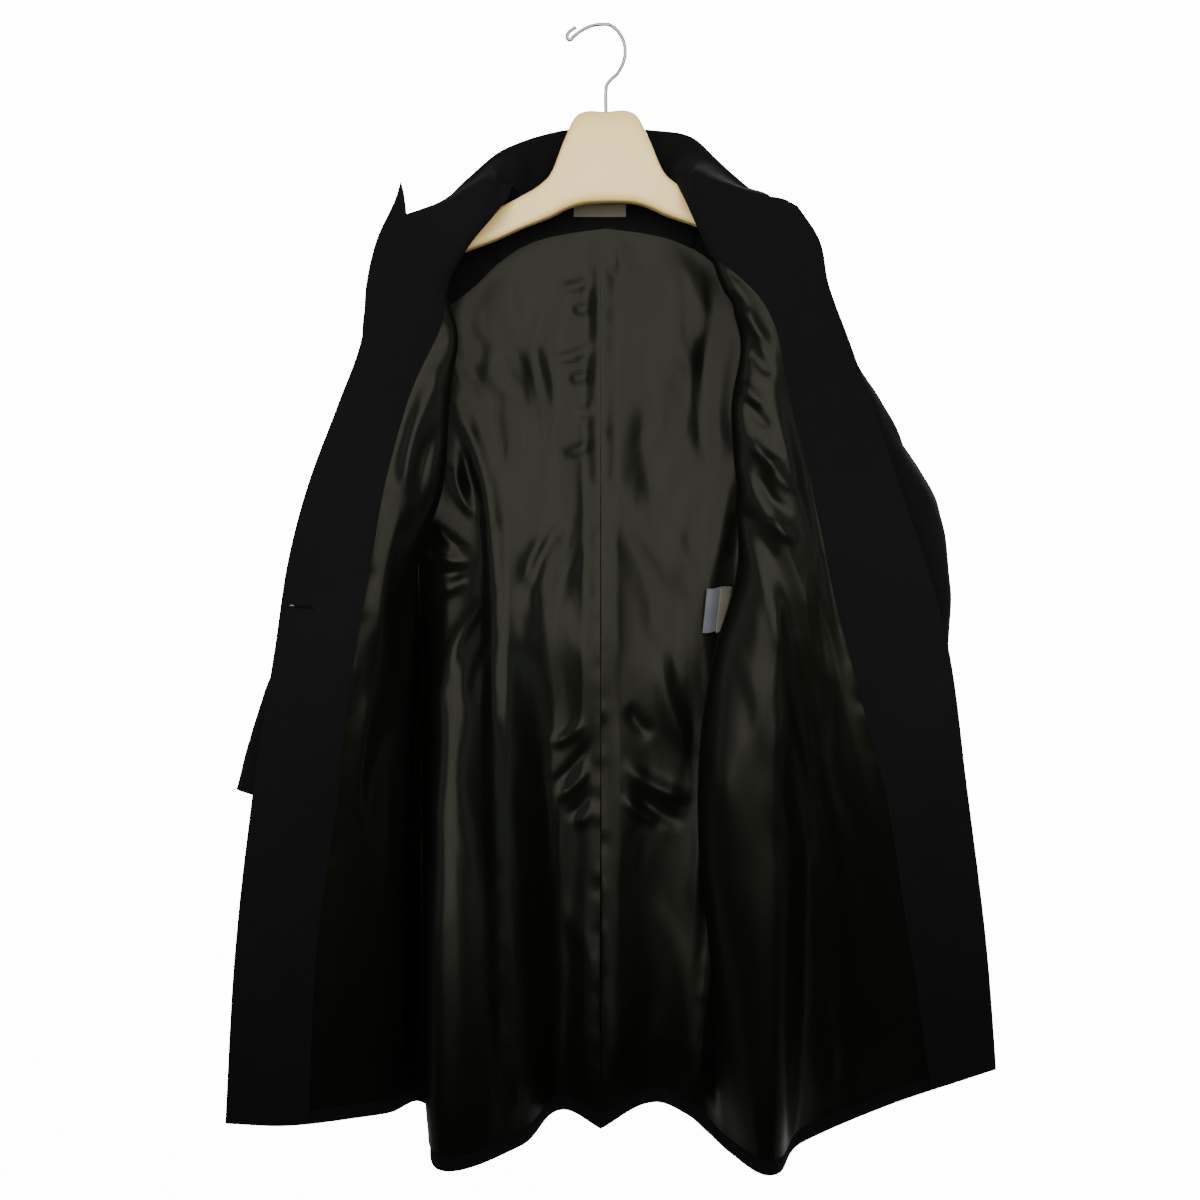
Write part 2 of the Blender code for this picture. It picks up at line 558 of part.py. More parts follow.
def share_centre(right_grid, left_grid):
    """Give both halves the same points and normals down the centre back."""
    for right, left in zip(right_grid, left_grid):
        middle = (right[:, 0] + left[:, 0]) / 2
        right[:, 0] = middle
        left[:, 0] = middle
    for points, normals in (right_grid, left_grid):
        normals[:, 0] /= np.linalg.norm(normals[:, 0], axis=1, keepdims=True)


def make_half(name, grid):
    """Cut one half's wool and lining pieces out of its grid."""
    full = (0, LAST_ROW)
    lined = (CAP_ROWS, LINING_ROW)
    panel(f"back_{name}", grid, full, BACK, -WOOL, WOOL, wool)
    panel(f"side_{name}", grid, (ARMHOLE_ROW, LAST_ROW), SIDE, -WOOL, WOOL, wool)
    joined = join_columns(grid, FRONT, FACING)
    panel(f"front_{name}", joined, full, (0, FRONT_STRIPS + FACING_STRIPS), -WOOL, WOOL, wool)
    inner = SEAM_GAP
    panel(f"facing_{name}", grid, full, FACING, inner, WOOL, facing_wool, end_gap=0.001)
    panel(f"lining_back_{name}", grid, lined, BACK, inner, LINING, satin)
    panel(f"lining_side_{name}", grid, (ARMHOLE_ROW, LINING_ROW), SIDE, inner, LINING, satin)
    panel(f"lining_front_{name}", grid, lined, FRONT, inner, LINING, satin)


def join_columns(grid, first, second):
    """Put two stretches that share a column side by side as one grid."""
    return tuple(np.concatenate([g[:, first[0]:first[1]], g[:, second[0]:second[1] + 1]], axis=1)
                 for g in grid)


def make_back_neck_facing(right_grid, left_grid):
    """The wool band inside the back neck, over both halves."""
    last = BACK_STRIPS // 2
    both = [np.concatenate([r[:, last:0:-1], l[:, :last + 1]], axis=1) for r, l in zip(right_grid, left_grid)]
    panel("back_neck_facing", both, (0, CAP_ROWS), (0, 2 * last), SEAM_GAP, WOOL, facing_wool,
          end_gap=SEAM_GAP)


def neck_edge(grid):
    """Give the seam line that the collar is sewn to, with its normals and upward tangents."""
    points, normals = grid
    back = list(range(0, BACK_STRIPS // 2))
    front = list(range(FRONT[0] + NECK_COLUMN, FRONT[1] + 1)) + list(range(FACING[0] + 1, FACING[1] - 1))
    columns = back + front
    edge = points[0, columns]
    return edge, normals[0, columns], unit(edge - points[1, columns])


def collar_grid(half, grid, rows_table, rows=5):
    """Lay the collar out from the neck seam to its free edge."""
    edge, lean, tangent = neck_edge(grid)
    lengths = np.concatenate([[0], np.cumsum(np.linalg.norm(np.diff(edge, axis=0), axis=1))])
    shares = lengths / lengths[-1]
    table = np.array([row[1:] for row in rows_table])
    points = np.zeros((rows + 1, len(edge), 3))
    for c, share in enumerate(shares):
        out, depth, drop = smooth_value([row.share for row in rows_table], table, share)
        end = np.array((half.side * out, depth, -drop))
        start = edge[c] + tangent[c] * SEAM_GAP + np.array((0, 0, COLLAR_LIFT))
        reach = np.linalg.norm(end - start)
        rise = min(reach / FULL_COLLAR, 1.0)
        straight = (end - start) * (1 - rise)
        pull_start = (np.array((0.0, 0.0, 0.75)) + tangent[c] * 0.15) * reach * rise + straight
        pull_end = np.array((0.0, -0.07, 0.7)) * reach * rise + straight
        for r in range(rows + 1):
            t = r / rows
            points[rows - r, c] = ((2 * t**3 - 3 * t**2 + 1) * start + (t**3 - 2 * t**2 + t) * pull_start
                                   + (-2 * t**3 + 3 * t**2) * end + (t**3 - t**2) * pull_end)
    return points, lean


def surface_normals(points, towards):
    """Give a grid's mean directions, on the side that a guide direction at the middle points to."""
    normals = unit(add_to_corners(facet_directions(points)))
    middle = points.shape[1] // 2
    return normals * np.sign(np.dot(normals[-1, middle], towards))


def make_collar(right_grid, left_grid):
    """The under collar and the upper collar, both right round the neck."""
    right, right_lean = collar_grid(RIGHT, right_grid, RIGHT_COLLAR)
    left, left_lean = collar_grid(LEFT, left_grid, LEFT_COLLAR)
    middle = (right[:, :1] + left[:, :1]) / 2
    points = np.concatenate([right[:, :0:-1], middle, left[:, 1:]], axis=1)
    normals = surface_normals(points, right_lean[0] + left_lean[0])
    wall("under_collar", points - normals * WOOL, points, wool)
    wall("upper_collar", points + normals * SEAM_GAP, points + normals * (SEAM_GAP + WOOL), facing_wool)


def armhole_loop(grid):
    """Give the points of the armhole's cut edge, from the shoulder tip round by the back."""
    points = grid[0]
    back = points[0:ARMHOLE_ROW + 1, BACK[1]]
    under = points[ARMHOLE_ROW, SIDE[0] + 1:SIDE[1]]
    front = points[ARMHOLE_ROW:0:-1, FRONT[0]]
    return np.concatenate([back, under, front])


def sleeve_rings(half, grid, rows_table):
    """Lay out a sleeve's rings, from the armhole to the cuff."""
    loop = armhole_loop(grid)
    steps = np.linalg.norm(np.roll(loop, -1, axis=0) - loop, axis=1)
    shares = np.concatenate([[0], np.cumsum(steps)[:-1]]) / steps.sum()
    loop[:, 0] += half.side * SLEEVE_GAP
    loop[:, 2] += SLEEVE_GAP * np.maximum(np.cos(2 * np.pi * shares), 0) ** 3
    rings = [loop]
    fine = np.linspace(0, 2 * np.pi, 181)
    for row in rows_table:
        outer = np.array((half.side * row.outer_out, row.depth, -row.outer_drop))
        inner = np.array((half.side * row.inner_out, row.depth, -row.inner_drop))
        share = (1 - np.cos(fine)) / 2
        line = outer + (inner - outer) * share[:, None] + np.outer(np.sin(fine), (0, row.half, 0))
        run = np.concatenate([[0], np.cumsum(np.linalg.norm(np.diff(line, axis=0), axis=1))])
        spots = shares * run[-1]
        ring = np.stack([np.interp(spots, run, line[:, k]) for k in range(3)], axis=1)
        like_loop = HEAD_SHAPE[len(rings)] if len(rings) < len(HEAD_SHAPE) else 0.0
        ring[:, 1] += (loop[:, 1] - ring[:, 1]) * like_loop
        rings.append(ring)
    return np.array(rings)


def make_sleeve(name, half, grid, rows_table):
    """An upper and an under sleeve, sewn along two seams."""
    rings = sleeve_rings(half, grid, rows_table)
    closed = np.concatenate([rings, rings[:, :1]], axis=1)
    total = add_to_corners(facet_directions(closed)) * half.side
    total[:, 0] += total[:, -1]
    normals = unit(total[:, :-1])
    seam = SLEEVE_SIDES // 3
    order = [k % SLEEVE_SIDES for k in range(-seam, seam + 1)]
    under = list(range(seam, SLEEVE_SIDES - seam + 1))
    for piece, columns in ((f"upper_sleeve_{name}", order), (f"under_sleeve_{name}", under)):
        cut = draw_in(rings[:, columns], (0, len(rings) - 1), (0, len(columns) - 1), SEAM_GAP)
        lean = normals[:, columns]
        wall(piece, cut, cut + lean * WOOL, wool)


def superellipse(turn, power=0.8):
    """Give a rounded box's outline point at an angle."""
    c, s = math.cos(turn), math.sin(turn)
    return math.copysign(abs(c) ** power, c), math.copysign(abs(s) ** power, s)


def make_hanger():
    """The moulded hanger: a loft of rounded upright sections, with a hole for the wire."""
    sides = 12
    rows = [row._replace(out=-row.out) for row in HANGER_ROWS[:0:-1]] + HANGER_ROWS
    build = bmesh.new()
    rings = []
    for row in rows:
        middle, tall = -(row.top + row.bottom) / 2, (row.bottom - row.top) / 2
        ring = []
        for k in range(sides):
            c, s = superellipse(2 * math.pi * k / sides)
            ring.append(build.verts.new((row.out, row.depth + c * row.half, middle + s * tall)))
        rings.append(ring)
    for ring, following in zip(rings, rings[1:]):
        for k in range(sides):
            n = (k + 1) % sides
            build.faces.new((ring[k], ring[n], following[n], following[k]))
    build.faces.new(rings[0])
    build.faces.new(rings[-1])
    bmesh.ops.recalc_face_normals(build, faces=build.faces)
    mesh = bpy.data.meshes.new("hanger_body")
    build.to_mesh(mesh)
    build.free()
    hanger = add_object("hanger_body", mesh, ivory, smooth_angle=35)
    hanger.rotation_euler = (0, -HANGER_TILT, 0)
    hanger.location = (-HANGER_TOP * math.sin(HANGER_TILT), 0, 0)
    bpy.ops.mesh.primitive_cylinder_add(vertices=16, radius=WIRE / 2 + SEAM_GAP, depth=2 * STEM_HOLE_DEPTH,
                                        location=(0, 0, -HANGER_TOP))
    hole = bpy.context.object
    hole.name = "hanger_wire_hole"
    hole.hide_render = True
    hole.display_type = "WIRE"
    for home in list(hole.users_collection):
        home.objects.unlink(hole)
    cutters.objects.link(hole)
    cut = hanger.modifiers.new("wire_hole", "BOOLEAN")
    cut.object = hole
    cut.operation = "DIFFERENCE"


def make_hook():
    """The bent wire hook, with its tip turned back on itself."""
    curve = bpy.data.curves.new("hook", "CURVE")
    curve.dimensions = "3D"
    curve.bevel_depth = WIRE / 2
    curve.bevel_resolution = 2
    curve.use_fill_caps = True
    route = HOOK_ROUTE + HOOK_TIP
    spline = curve.splines.new("POLY")
    spline.points.add(len(route) - 1)
    for spot, (across, drop) in zip(spline.points, route):
        spot.co = (across, 0.0, -drop, 1.0)
    hook = bpy.data.objects.new("hook", curve)
    curve.materials.append(chrome)
    parts.objects.link(hook)


def make_button():
    """The one button, on the wearer's left front, sewn to its outer side."""
    spot = LEFT.point(BUTTON_PLACE, BUTTON_DROP)
    away = -LEFT.inward(BUTTON_PLACE, BUTTON_DROP)
    bpy.ops.mesh.primitive_cylinder_add(vertices=32, radius=BUTTON_WIDTH / 2, depth=BUTTON_THICKNESS)
    button = bpy.context.object
    button.name = "button"
    for home in list(button.users_collection):
        home.objects.unlink(button)
    parts.objects.link(button)
    turn = math.atan2(away[0], -away[1])
    button.rotation_euler = (math.radians(90), 0, turn)
    button.location = spot + away * (WOOL + SEAM_GAP + BUTTON_THICKNESS / 2 + SHANK)
    rounding = button.modifiers.new("rounding", "BEVEL")
    rounding.width = 0.0010
    rounding.segments = 2
    rounding.limit_method = "ANGLE"
    button.data.materials.append(horn)
    button.data.shade_smooth()
    button.data.set_sharp_from_angle(angle=math.radians(40))


def make_neck_label():
    """A bare woven label on the band inside the back neck."""
    rows = []
    for drop in NECK_LABEL_DROPS:
        line = []
        for out in np.linspace(*NECK_LABEL_ENDS, 9):
            half = RIGHT if out < -0.005 else LEFT
            places = np.linspace(0, 1.2, 25)
            outs = [half.side * half.flat_point(place, drop)[0] for place in places]
            order = np.argsort(outs)
            place = float(np.interp(out, np.array(outs)[order], places[order]))
            line.append(half.point(place, drop))
        rows.append(line)
    points = np.array(rows)
    base = points - np.array((0, SEAM_GAP * 2 + WOOL + NECK_LABEL_OFF, 0))
    wall("neck_label", base, base - np.array((0, NECK_LABEL_THICKNESS, 0)), label_cloth)


def make_care_labels():
    """Two bare tabs sewn into the wearer's left back seam of the lining."""
    front_route = ((0.0, 0.0), (-0.0035, -0.0055), (-0.0095, -0.0115), (-0.0155, -0.0155))
    back_route = ((0.0, 0.0), (0.0030, -0.0085), (0.0070, -0.0160), (0.0105, -0.0215))
    leaves = (("care_label_front", 2.20, LABEL, front_route, grey_satin),
              ("care_label_back", 2.26, -LABEL, back_route, label_cloth))
    for name, place, thickness, route, look in leaves:
        grids = ([], [])
        for drop in np.linspace(*CARE_LABEL_DROPS, CARE_LABEL_LEVELS):
            inward = LEFT.inward(place, drop)
            start = LEFT.point(place, drop) + inward * (SEAM_GAP * 2.5 + LINING)
            line = np.array([start + (across, depth, 0) for across, depth in route])
            step = np.gradient(line, axis=0)
            side = unit(np.stack([-step[:, 1], step[:, 0], step[:, 2] * 0], axis=1))
            grids[0].append(line)
            grids[1].append(line + side * thickness)
        wall(name, np.array(grids[0]), np.array(grids[1]), look)


for thing in list(bpy.data.objects):
    bpy.data.objects.remove(thing, do_unlink=True)
parts = bpy.data.collections.new("wool_coat_on_hanger")
cutters = bpy.data.collections.new("cutters")
bpy.context.scene.collection.children.link(parts)
bpy.context.scene.collection.children.link(cutters)

wool = material("black_wool", "#1b1b19", 0.95)
facing_wool = material("black_wool_inside", "#1e1d1a", 0.95)
satin = material("olive_black_satin", "#33342c", 0.42)
ivory = material("ivory_plastic", "#f3ead2", 0.32)
chrome = material("chromed_wire", "#c9c9c6", 0.16, metallic=1.0)
label_cloth = material("cream_label", "#b9aa8c", 0.8)
grey_satin = material("grey_label", "#8c8d92", 0.5)
horn = material("black_button", "#141414", 0.35)

right_grid = half_grid(RIGHT)
left_grid = half_grid(LEFT)
share_centre(right_grid, left_grid)
make_half("right", right_grid)
make_half("left", left_grid)
make_back_neck_facing(right_grid, left_grid)
make_collar(right_grid, left_grid)
make_sleeve("right", RIGHT, right_grid, RIGHT_SLEEVE)
make_sleeve("left", LEFT, left_grid, LEFT_SLEEVE)
make_hanger()
make_hook()
make_button()
make_neck_label()
make_care_labels()
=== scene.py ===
import math
import bmesh
import bpy
import numpy as np
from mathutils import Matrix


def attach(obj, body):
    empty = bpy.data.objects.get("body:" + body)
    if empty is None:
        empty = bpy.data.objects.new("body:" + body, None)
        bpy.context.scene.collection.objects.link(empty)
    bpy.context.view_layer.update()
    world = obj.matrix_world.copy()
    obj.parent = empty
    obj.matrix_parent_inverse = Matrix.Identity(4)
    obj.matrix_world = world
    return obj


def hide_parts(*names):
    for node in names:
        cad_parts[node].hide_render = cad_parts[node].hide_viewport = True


# A women's black wool coat on an ivory plastic hanger, hung open. Metres, +Z up, the rail's contact
# at the origin, the viewer on -Y. Left and right are the wearer's, so the right front lies at -X.
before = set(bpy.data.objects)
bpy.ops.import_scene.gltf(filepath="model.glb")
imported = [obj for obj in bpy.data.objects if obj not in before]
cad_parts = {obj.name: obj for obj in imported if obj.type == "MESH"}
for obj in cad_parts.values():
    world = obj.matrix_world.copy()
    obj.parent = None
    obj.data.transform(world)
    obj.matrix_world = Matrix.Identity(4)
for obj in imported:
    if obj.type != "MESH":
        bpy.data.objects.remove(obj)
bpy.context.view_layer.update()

cloth = {
    "wool": 0.0018,             # thickness of the wool
    "lining": 0.0009,           # thickness of the satin
    "gap": 0.0003,              # between two layers that lie on each other
    "hemStep": 0.015,           # how far the lining ends above the wool's hem
    "shoulderDepth": -0.002,    # depth at which back and front meet on the shoulder
    "shoulderDrop": 0.034,      # over which the body opens out below the shoulder
    "backNeckDrop": 0.163,
}


def srgb(code):
    channels = [int(code[i:i + 2], 16) / 255 for i in (1, 3, 5)]
    return tuple(c / 12.92 if c <= 0.04045 else ((c + 0.055) / 1.055) ** 2.4 for c in channels) + (1.0,)


# The body's sections, shared with the CAD. Each drop below the rail has nine named points, each one
# (out from the middle, depth away from the viewer), from the centre back to the front edge.
# Right: centre, hollow, fold in, fold out, valley, roll, front, flare, edge.
# Left: centre, hollow, back, valley, roll, crest, trough, flare, edge.
rightSections = {
    .14: ((.005, .034), (.035, .030), (.064, .020), (.098, .006), (.2025, -.004),
           (.088, -.034), (.118, -.050), (.150, -.050), (.183, -.045)),
    .17: ((.005, .036), (.040, .034), (.075, .028), (.118, .016), (.2025, -.004),
           (.095, -.040), (.132, -.054), (.162, -.053), (.190, -.050)),
    .21: ((.005, .038), (.045, .038), (.090, .036), (.140, .028), (.2020, -.002),
           (.125, -.048), (.154, -.058), (.182, -.056), (.2075, -.053)),
    .25: ((.005, .040), (.050, .042), (.098, .042), (.145, .036), (.2005, .000),
           (.146, -.054), (.170, -.062), (.194, -.059), (.2165, -.055)),
    .3: ((.005, .041), (.052, .044), (.103, .046), (.146, .040), (.196, .004),
           (.139, -.055), (.168, -.064), (.194, -.061), (.2205, -.058)),
    .36: ((.005, .041), (.052, .045), (.106, .047), (.146, .040), (.188, .010),
           (.146, -.055), (.186, -.066), (.214, -.063), (.242, -.060)),
    .43: ((.005, .040), (.052, .045), (.104, .044), (.145, .036), (.184, .018),
           (.153, -.050), (.200, -.066), (.234, -.064), (.268, -.062)),
    .5: ((.005, .038), (.050, .044), (.100, .038), (.145, .024), (.182, .030),
           (.178, -.036), (.212, -.064), (.249, -.064), (.2865, -.062)),
    .58: ((.005, .036), (.050, .042), (.098, .026), (.148, .006), (.176, .038),
           (.186, -.018), (.222, -.060), (.260, -.061), (.2990, -.060)),
    .7: ((.005, .038), (.048, .044), (.092, .010), (.150, -.020), (.176, .040),
           (.194, -.010), (.235, -.046), (.277, -.052), (.319, -.051)),
    .85: ((.005, .026), (.046, .036), (.084, -.014), (.152, -.046), (.175, .036),
           (.197, -.004), (.245, -.030), (.292, -.036), (.339, -.034)),
    1.03: ((.005, -.005), (.042, .020), (.078, -.034), (.150, -.068), (.174, .030),
           (.203, .004), (.240, -.012), (.296, -.022), (.352, -.020)),
}
leftSections = {
    .14: ((-.005, .034), (.035, .030), (.078, .018), (.1955, -.004), (.066, -.030),
           (.092, -.046), (.122, -.052), (.144, -.050), (.162, -.043)),
    .17: ((-.005, .036), (.040, .034), (.092, .026), (.1955, -.004), (.075, -.038),
           (.105, -.052), (.134, -.054), (.152, -.053), (.168, -.045)),
    .21: ((-.005, .038), (.045, .038), (.105, .035), (.1965, -.002), (.091, -.050),
           (.122, -.060), (.150, -.057), (.172, -.055), (.193, -.052)),
    .25: ((-.005, .040), (.050, .042), (.110, .040), (.1990, .000), (.110, -.055),
           (.135, -.064), (.160, -.060), (.181, -.058), (.2010, -.055)),
    .3: ((-.005, .041), (.052, .044), (.112, .044), (.196, .004), (.126, -.055),
           (.150, -.066), (.175, -.061), (.197, -.060), (.219, -.057)),
    .36: ((-.005, .041), (.052, .045), (.112, .045), (.186, .010), (.119, -.055),
           (.148, -.066), (.180, -.062), (.210, -.062), (.240, -.060)),
    .43: ((-.005, .040), (.052, .045), (.112, .044), (.176, .020), (.121, -.054),
           (.150, -.066), (.186, -.062), (.224, -.063), (.263, -.062)),
    .5: ((-.005, .038), (.050, .044), (.110, .044), (.168, .032), (.126, -.050),
           (.152, -.066), (.192, -.060), (.240, -.063), (.287, -.062)),
    .58: ((-.005, .036), (.050, .043), (.104, .046), (.155, .040), (.105, -.044),
           (.148, -.064), (.192, -.050), (.250, -.060), (.309, -.060)),
    .7: ((-.005, .038), (.048, .046), (.090, .046), (.135, .040), (.088, -.038),
           (.147, -.062), (.188, -.034), (.257, -.048), (.3266, -.052)),
    .85: ((-.005, .026), (.046, .040), (.080, .036), (.114, .020), (.099, -.036),
           (.150, -.064), (.184, -.018), (.265, -.016), (.349, -.032)),
    1.03: ((-.005, -.005), (.045, .029), (.075, .014), (.092, -.006), (.112, -.036),
           (.146, -.070), (.180, -.004), (.272, .018), (.3685, .000)),
}
# where the seams run at each drop, counted in named points: back seam, side seam, facing's edge
rightSeams = {
    0.14: (4.00, 4.00, 4.60), 0.20: (4.00, 4.00, 4.70), 0.23: (3.85, 4.18, 4.85), 0.26: (3.70, 4.35, 5.05),
    0.31: (3.32, 4.45, 5.72), 0.345: (3.10, 4.47, 5.82), 0.38: (2.55, 4.49, 5.89), 0.43: (2.25, 4.50, 5.98),
    0.50: (2.20, 4.50, 6.00), 0.62: (2.22, 4.50, 6.17), 0.72: (2.24, 4.50, 6.20), 0.81: (2.25, 4.50, 6.36),
    0.90: (2.25, 4.50, 6.49), 1.03: (2.25, 4.50, 6.64),
}
leftSeams = {
    0.14: (3.00, 3.00, 3.60), 0.20: (3.00, 3.00, 3.75), 0.23: (2.92, 3.15, 4.20), 0.26: (2.84, 3.30, 5.00),
    0.31: (2.66, 3.48, 5.20), 0.345: (2.56, 3.55, 5.48), 0.38: (2.42, 3.66, 5.70), 0.42: (2.30, 3.88, 5.92),
    0.46: (2.24, 4.25, 6.04), 0.50: (2.20, 4.97, 6.14), 0.62: (2.30, 5.60, 6.64), 0.72: (2.40, 6.12, 6.98),
    0.81: (2.45, 6.34, 7.12), 0.90: (2.50, 6.45, 7.25), 1.03: (2.60, 6.56, 7.40),
}
firstLevel = 0.14


def hermite(t, start, startSlope, end, endSlope):
    return ((2 * t**3 - 3 * t**2 + 1) * start + (t**3 - 2 * t**2 + t) * startSlope
            + (-2 * t**3 + 3 * t**2) * end + (t**3 - t**2) * endSlope)


def runAlong(points):
    # the length along a line from its first point to each of its points
    return np.concatenate([[0], np.cumsum(np.linalg.norm(np.diff(points, axis=0), axis=1))])


def evenly(line, shares):
    run = runAlong(line)
    return np.stack([np.interp(shares * run[-1], run, line[:, k]) for k in range(3)], axis=1)


def smoothTable(keys, values, at):
    keys, values = np.asarray(keys, float), np.asarray(values, float)
    at = np.clip(np.atleast_1d(np.asarray(at, float)), keys[0], keys[-1])
    k = np.clip(np.searchsorted(keys, at, side="right") - 1, 0, len(keys) - 2)
    steps = np.diff(keys)
    slopes = np.diff(values, axis=0) / steps.reshape((-1,) + (1,) * (values.ndim - 1))
    tangents = np.concatenate([slopes[:1], (slopes[:-1] + slopes[1:]) / 2, slopes[-1:]])
    shape = (-1,) + (1,) * (values.ndim - 1)
    t, h = ((at - keys[k]) / steps[k]).reshape(shape), steps[k].reshape(shape)
    return hermite(t, values[k], h * tangents[k], values[k + 1], h * tangents[k + 1])


def ease(x):
    x = np.clip(x, 0, 1)
    return x * x * (3 - 2 * x)


def unit(v):
    return v / np.maximum(np.linalg.norm(v, axis=-1, keepdims=True), 1e-12)


def roundCurve(points, place):
    # a curve through each row's named points, turning evenly at each of them
    last = points.shape[1] - 1
    rows = np.arange(len(points))
    place = np.clip(place, 0, last)
    k = np.minimum(place.astype(int), last - 1)
    chords = np.diff(points, axis=1)
    lengths = np.linalg.norm(chords, axis=2)
    own, ownChord = lengths[rows, k][:, None], chords[rows, k]

    def tangent(n):
        before, after = np.clip(n - 1, 0, last - 1), np.clip(n, 0, last - 1)
        both = unit(chords[rows, before]) + unit(chords[rows, after])
        bend = np.linalg.norm(both, axis=1, keepdims=True)
        turned = both / np.maximum(bend, 1e-6) * own * (0.5 + 0.25 * bend)
        return np.where(((n == 0) | (n == last))[:, None], ownChord, turned)

    t = (place - k)[:, None]
    return hermite(t, points[rows, k], tangent(k), points[rows, k + 1], tangent(k + 1))


def facetMean(points, side=1):
    facets = unit(np.cross(points[:-1, 1:] - points[1:, :-1], points[1:, 1:] - points[:-1, :-1])) * -side
    total = np.zeros_like(points)
    for down in (slice(None, -1), slice(1, None)):
        for out in (slice(None, -1), slice(1, None)):
            total[down, out] += facets
    return total


class Half:
    # one half of the body as a smooth surface over (place round it, drop)
    def __init__(self, side, sections, seams, hem, gorge, tip, neck, roll, notch, sidePoint):
        self.tip = tip
        self.side, self.hem, self.gorge = side, hem, np.array(gorge)
        self.drops, self.table = list(sections), np.array(list(sections.values()))
        self.seamDrops, self.seams = list(seams), np.array(list(seams.values()))
        self.neck, self.roll, self.notch, self.sidePoint = neck, roll, notch, sidePoint

    def flat(self, place, drop):
        return roundCurve(smoothTable(self.drops, self.table, drop), place)

    def neckSpot(self):
        drop = self.gorge[0, 1]
        return self.flat(np.array([self.roll]), np.array([drop]))[0, 0], drop

    def top(self, place):
        neckOut, neckDrop = self.neckSpot()
        neckTop = cloth["backNeckDrop"]
        drop = np.full(len(place), self.tip[1])
        for _ in range(12):
            out = self.flat(place, drop)[:, 0]
            drop = np.interp(out, (0, neckOut - 0.020, neckOut, self.tip[0]),
                             (neckTop, neckTop - 0.003, neckDrop, self.tip[1]))
        onLapel = np.interp(place, self.gorge[:, 0], self.gorge[:, 1])
        return np.where(place > self.roll, onLapel, drop)

    def capWeight(self, place):
        return np.where(place < self.sidePoint, ease((place / self.neck - 0.83) / 0.17),
                        1 - ease((place - self.roll) / 0.50))

    def point(self, place, drop):
        flat = self.flat(place, drop)
        out, depth = flat[:, 0], flat[:, 1]
        below = np.clip((drop - self.top(place)) / cloth["shoulderDrop"], 0, 1)
        fade = 1 - np.sin(below * np.pi / 2)
        weight = self.capWeight(place)
        depth = depth + weight * fade * (cloth["shoulderDepth"] - depth)
        out = out + np.where(place > self.roll, 0.040 * weight * (1 - weight) * fade, 0)
        return np.stack([self.side * out, depth, -drop], axis=1)

    def seamPlaces(self, drop):
        return smoothTable(self.seamDrops, self.seams, drop)


# the hem's drop at each named point, and the gorge as (place, drop) from the roll to the lapel's edge
rightHem = (1.029, 1.018, 1.036, 1.049, 1.014, 1.016, 1.018, 1.0216, 1.0198)
leftHem = (1.029, 1.0134, 1.0206, 1.030, 1.042, 1.053, 1.043, 1.0105, 0.9719)
rightGorge = ((5, .1495), (5.2, .15), (5.45, .158), (5.7, .166), (6, .174), (7, .184), (7.4, .187),
              (7.7, .173), (8, .1564))
leftGorge = ((4, .1425), (4.2, .143), (4.45, .15), (4.7, .1575), (5, .1625), (6, .168), (6.75, .171),
             (7.4, .173), (8, .179))
# "tip" is the shoulder's outer end; "neck", "roll", "notch" and "sidePoint" are places
rightHalf = Half(-1, rightSections, rightSeams, rightHem, rightGorge, tip=(0.2025, 0.198), neck=2.66,
                 roll=5.0, notch=7.4, sidePoint=4.0)
leftHalf = Half(1, leftSections, leftSeams, leftHem, leftGorge, tip=(0.1945, 0.200), neck=1.72, roll=4.0,
                notch=6.75, sidePoint=3.0)
halves = {"right": rightHalf, "left": leftHalf}


# Soft random cloth forms
def lattice(seed, size=64):
    return np.random.default_rng(seed).uniform(-1, 1, (size, size))


def noise(u, v, cellU, cellV, seed):
    grid = lattice(seed)
    a, b = np.asarray(u) / cellU + 17.3, np.asarray(v) / cellV + 9.1
    i, j = np.floor(a).astype(int), np.floor(b).astype(int)
    s, t = a - i, b - j
    s, t = s * s * s * (s * (6 * s - 15) + 10), t * t * t * (t * (6 * t - 15) + 10)
    n = len(grid)

    def at(p, q):
        return grid[p % n, q % n]

    upper = at(i, j) * (1 - s) + at(i + 1, j) * s
    lower = at(i, j + 1) * (1 - s) + at(i + 1, j + 1) * s
    return upper * (1 - t) + lower * t


def crease(x, drop, start, end, width, height):
    # a soft ridge (height > 0, towards the viewer) or trough along a line that fades at both ends
    a, b = np.array(start), np.array(end)
    along = b - a
    length = np.linalg.norm(along)
    along = along / length
    px, pd = x - a[0], drop - a[1]
    t = (px * along[0] + pd * along[1]) / length
    off = px * along[1] - pd * along[0]
    bend = off + 0.08 * length * np.sin(np.clip(t, 0, 1) * np.pi)
    return height * np.exp(-(bend / width) ** 2) * ease(t * 3) * ease((1 - t) * 3)


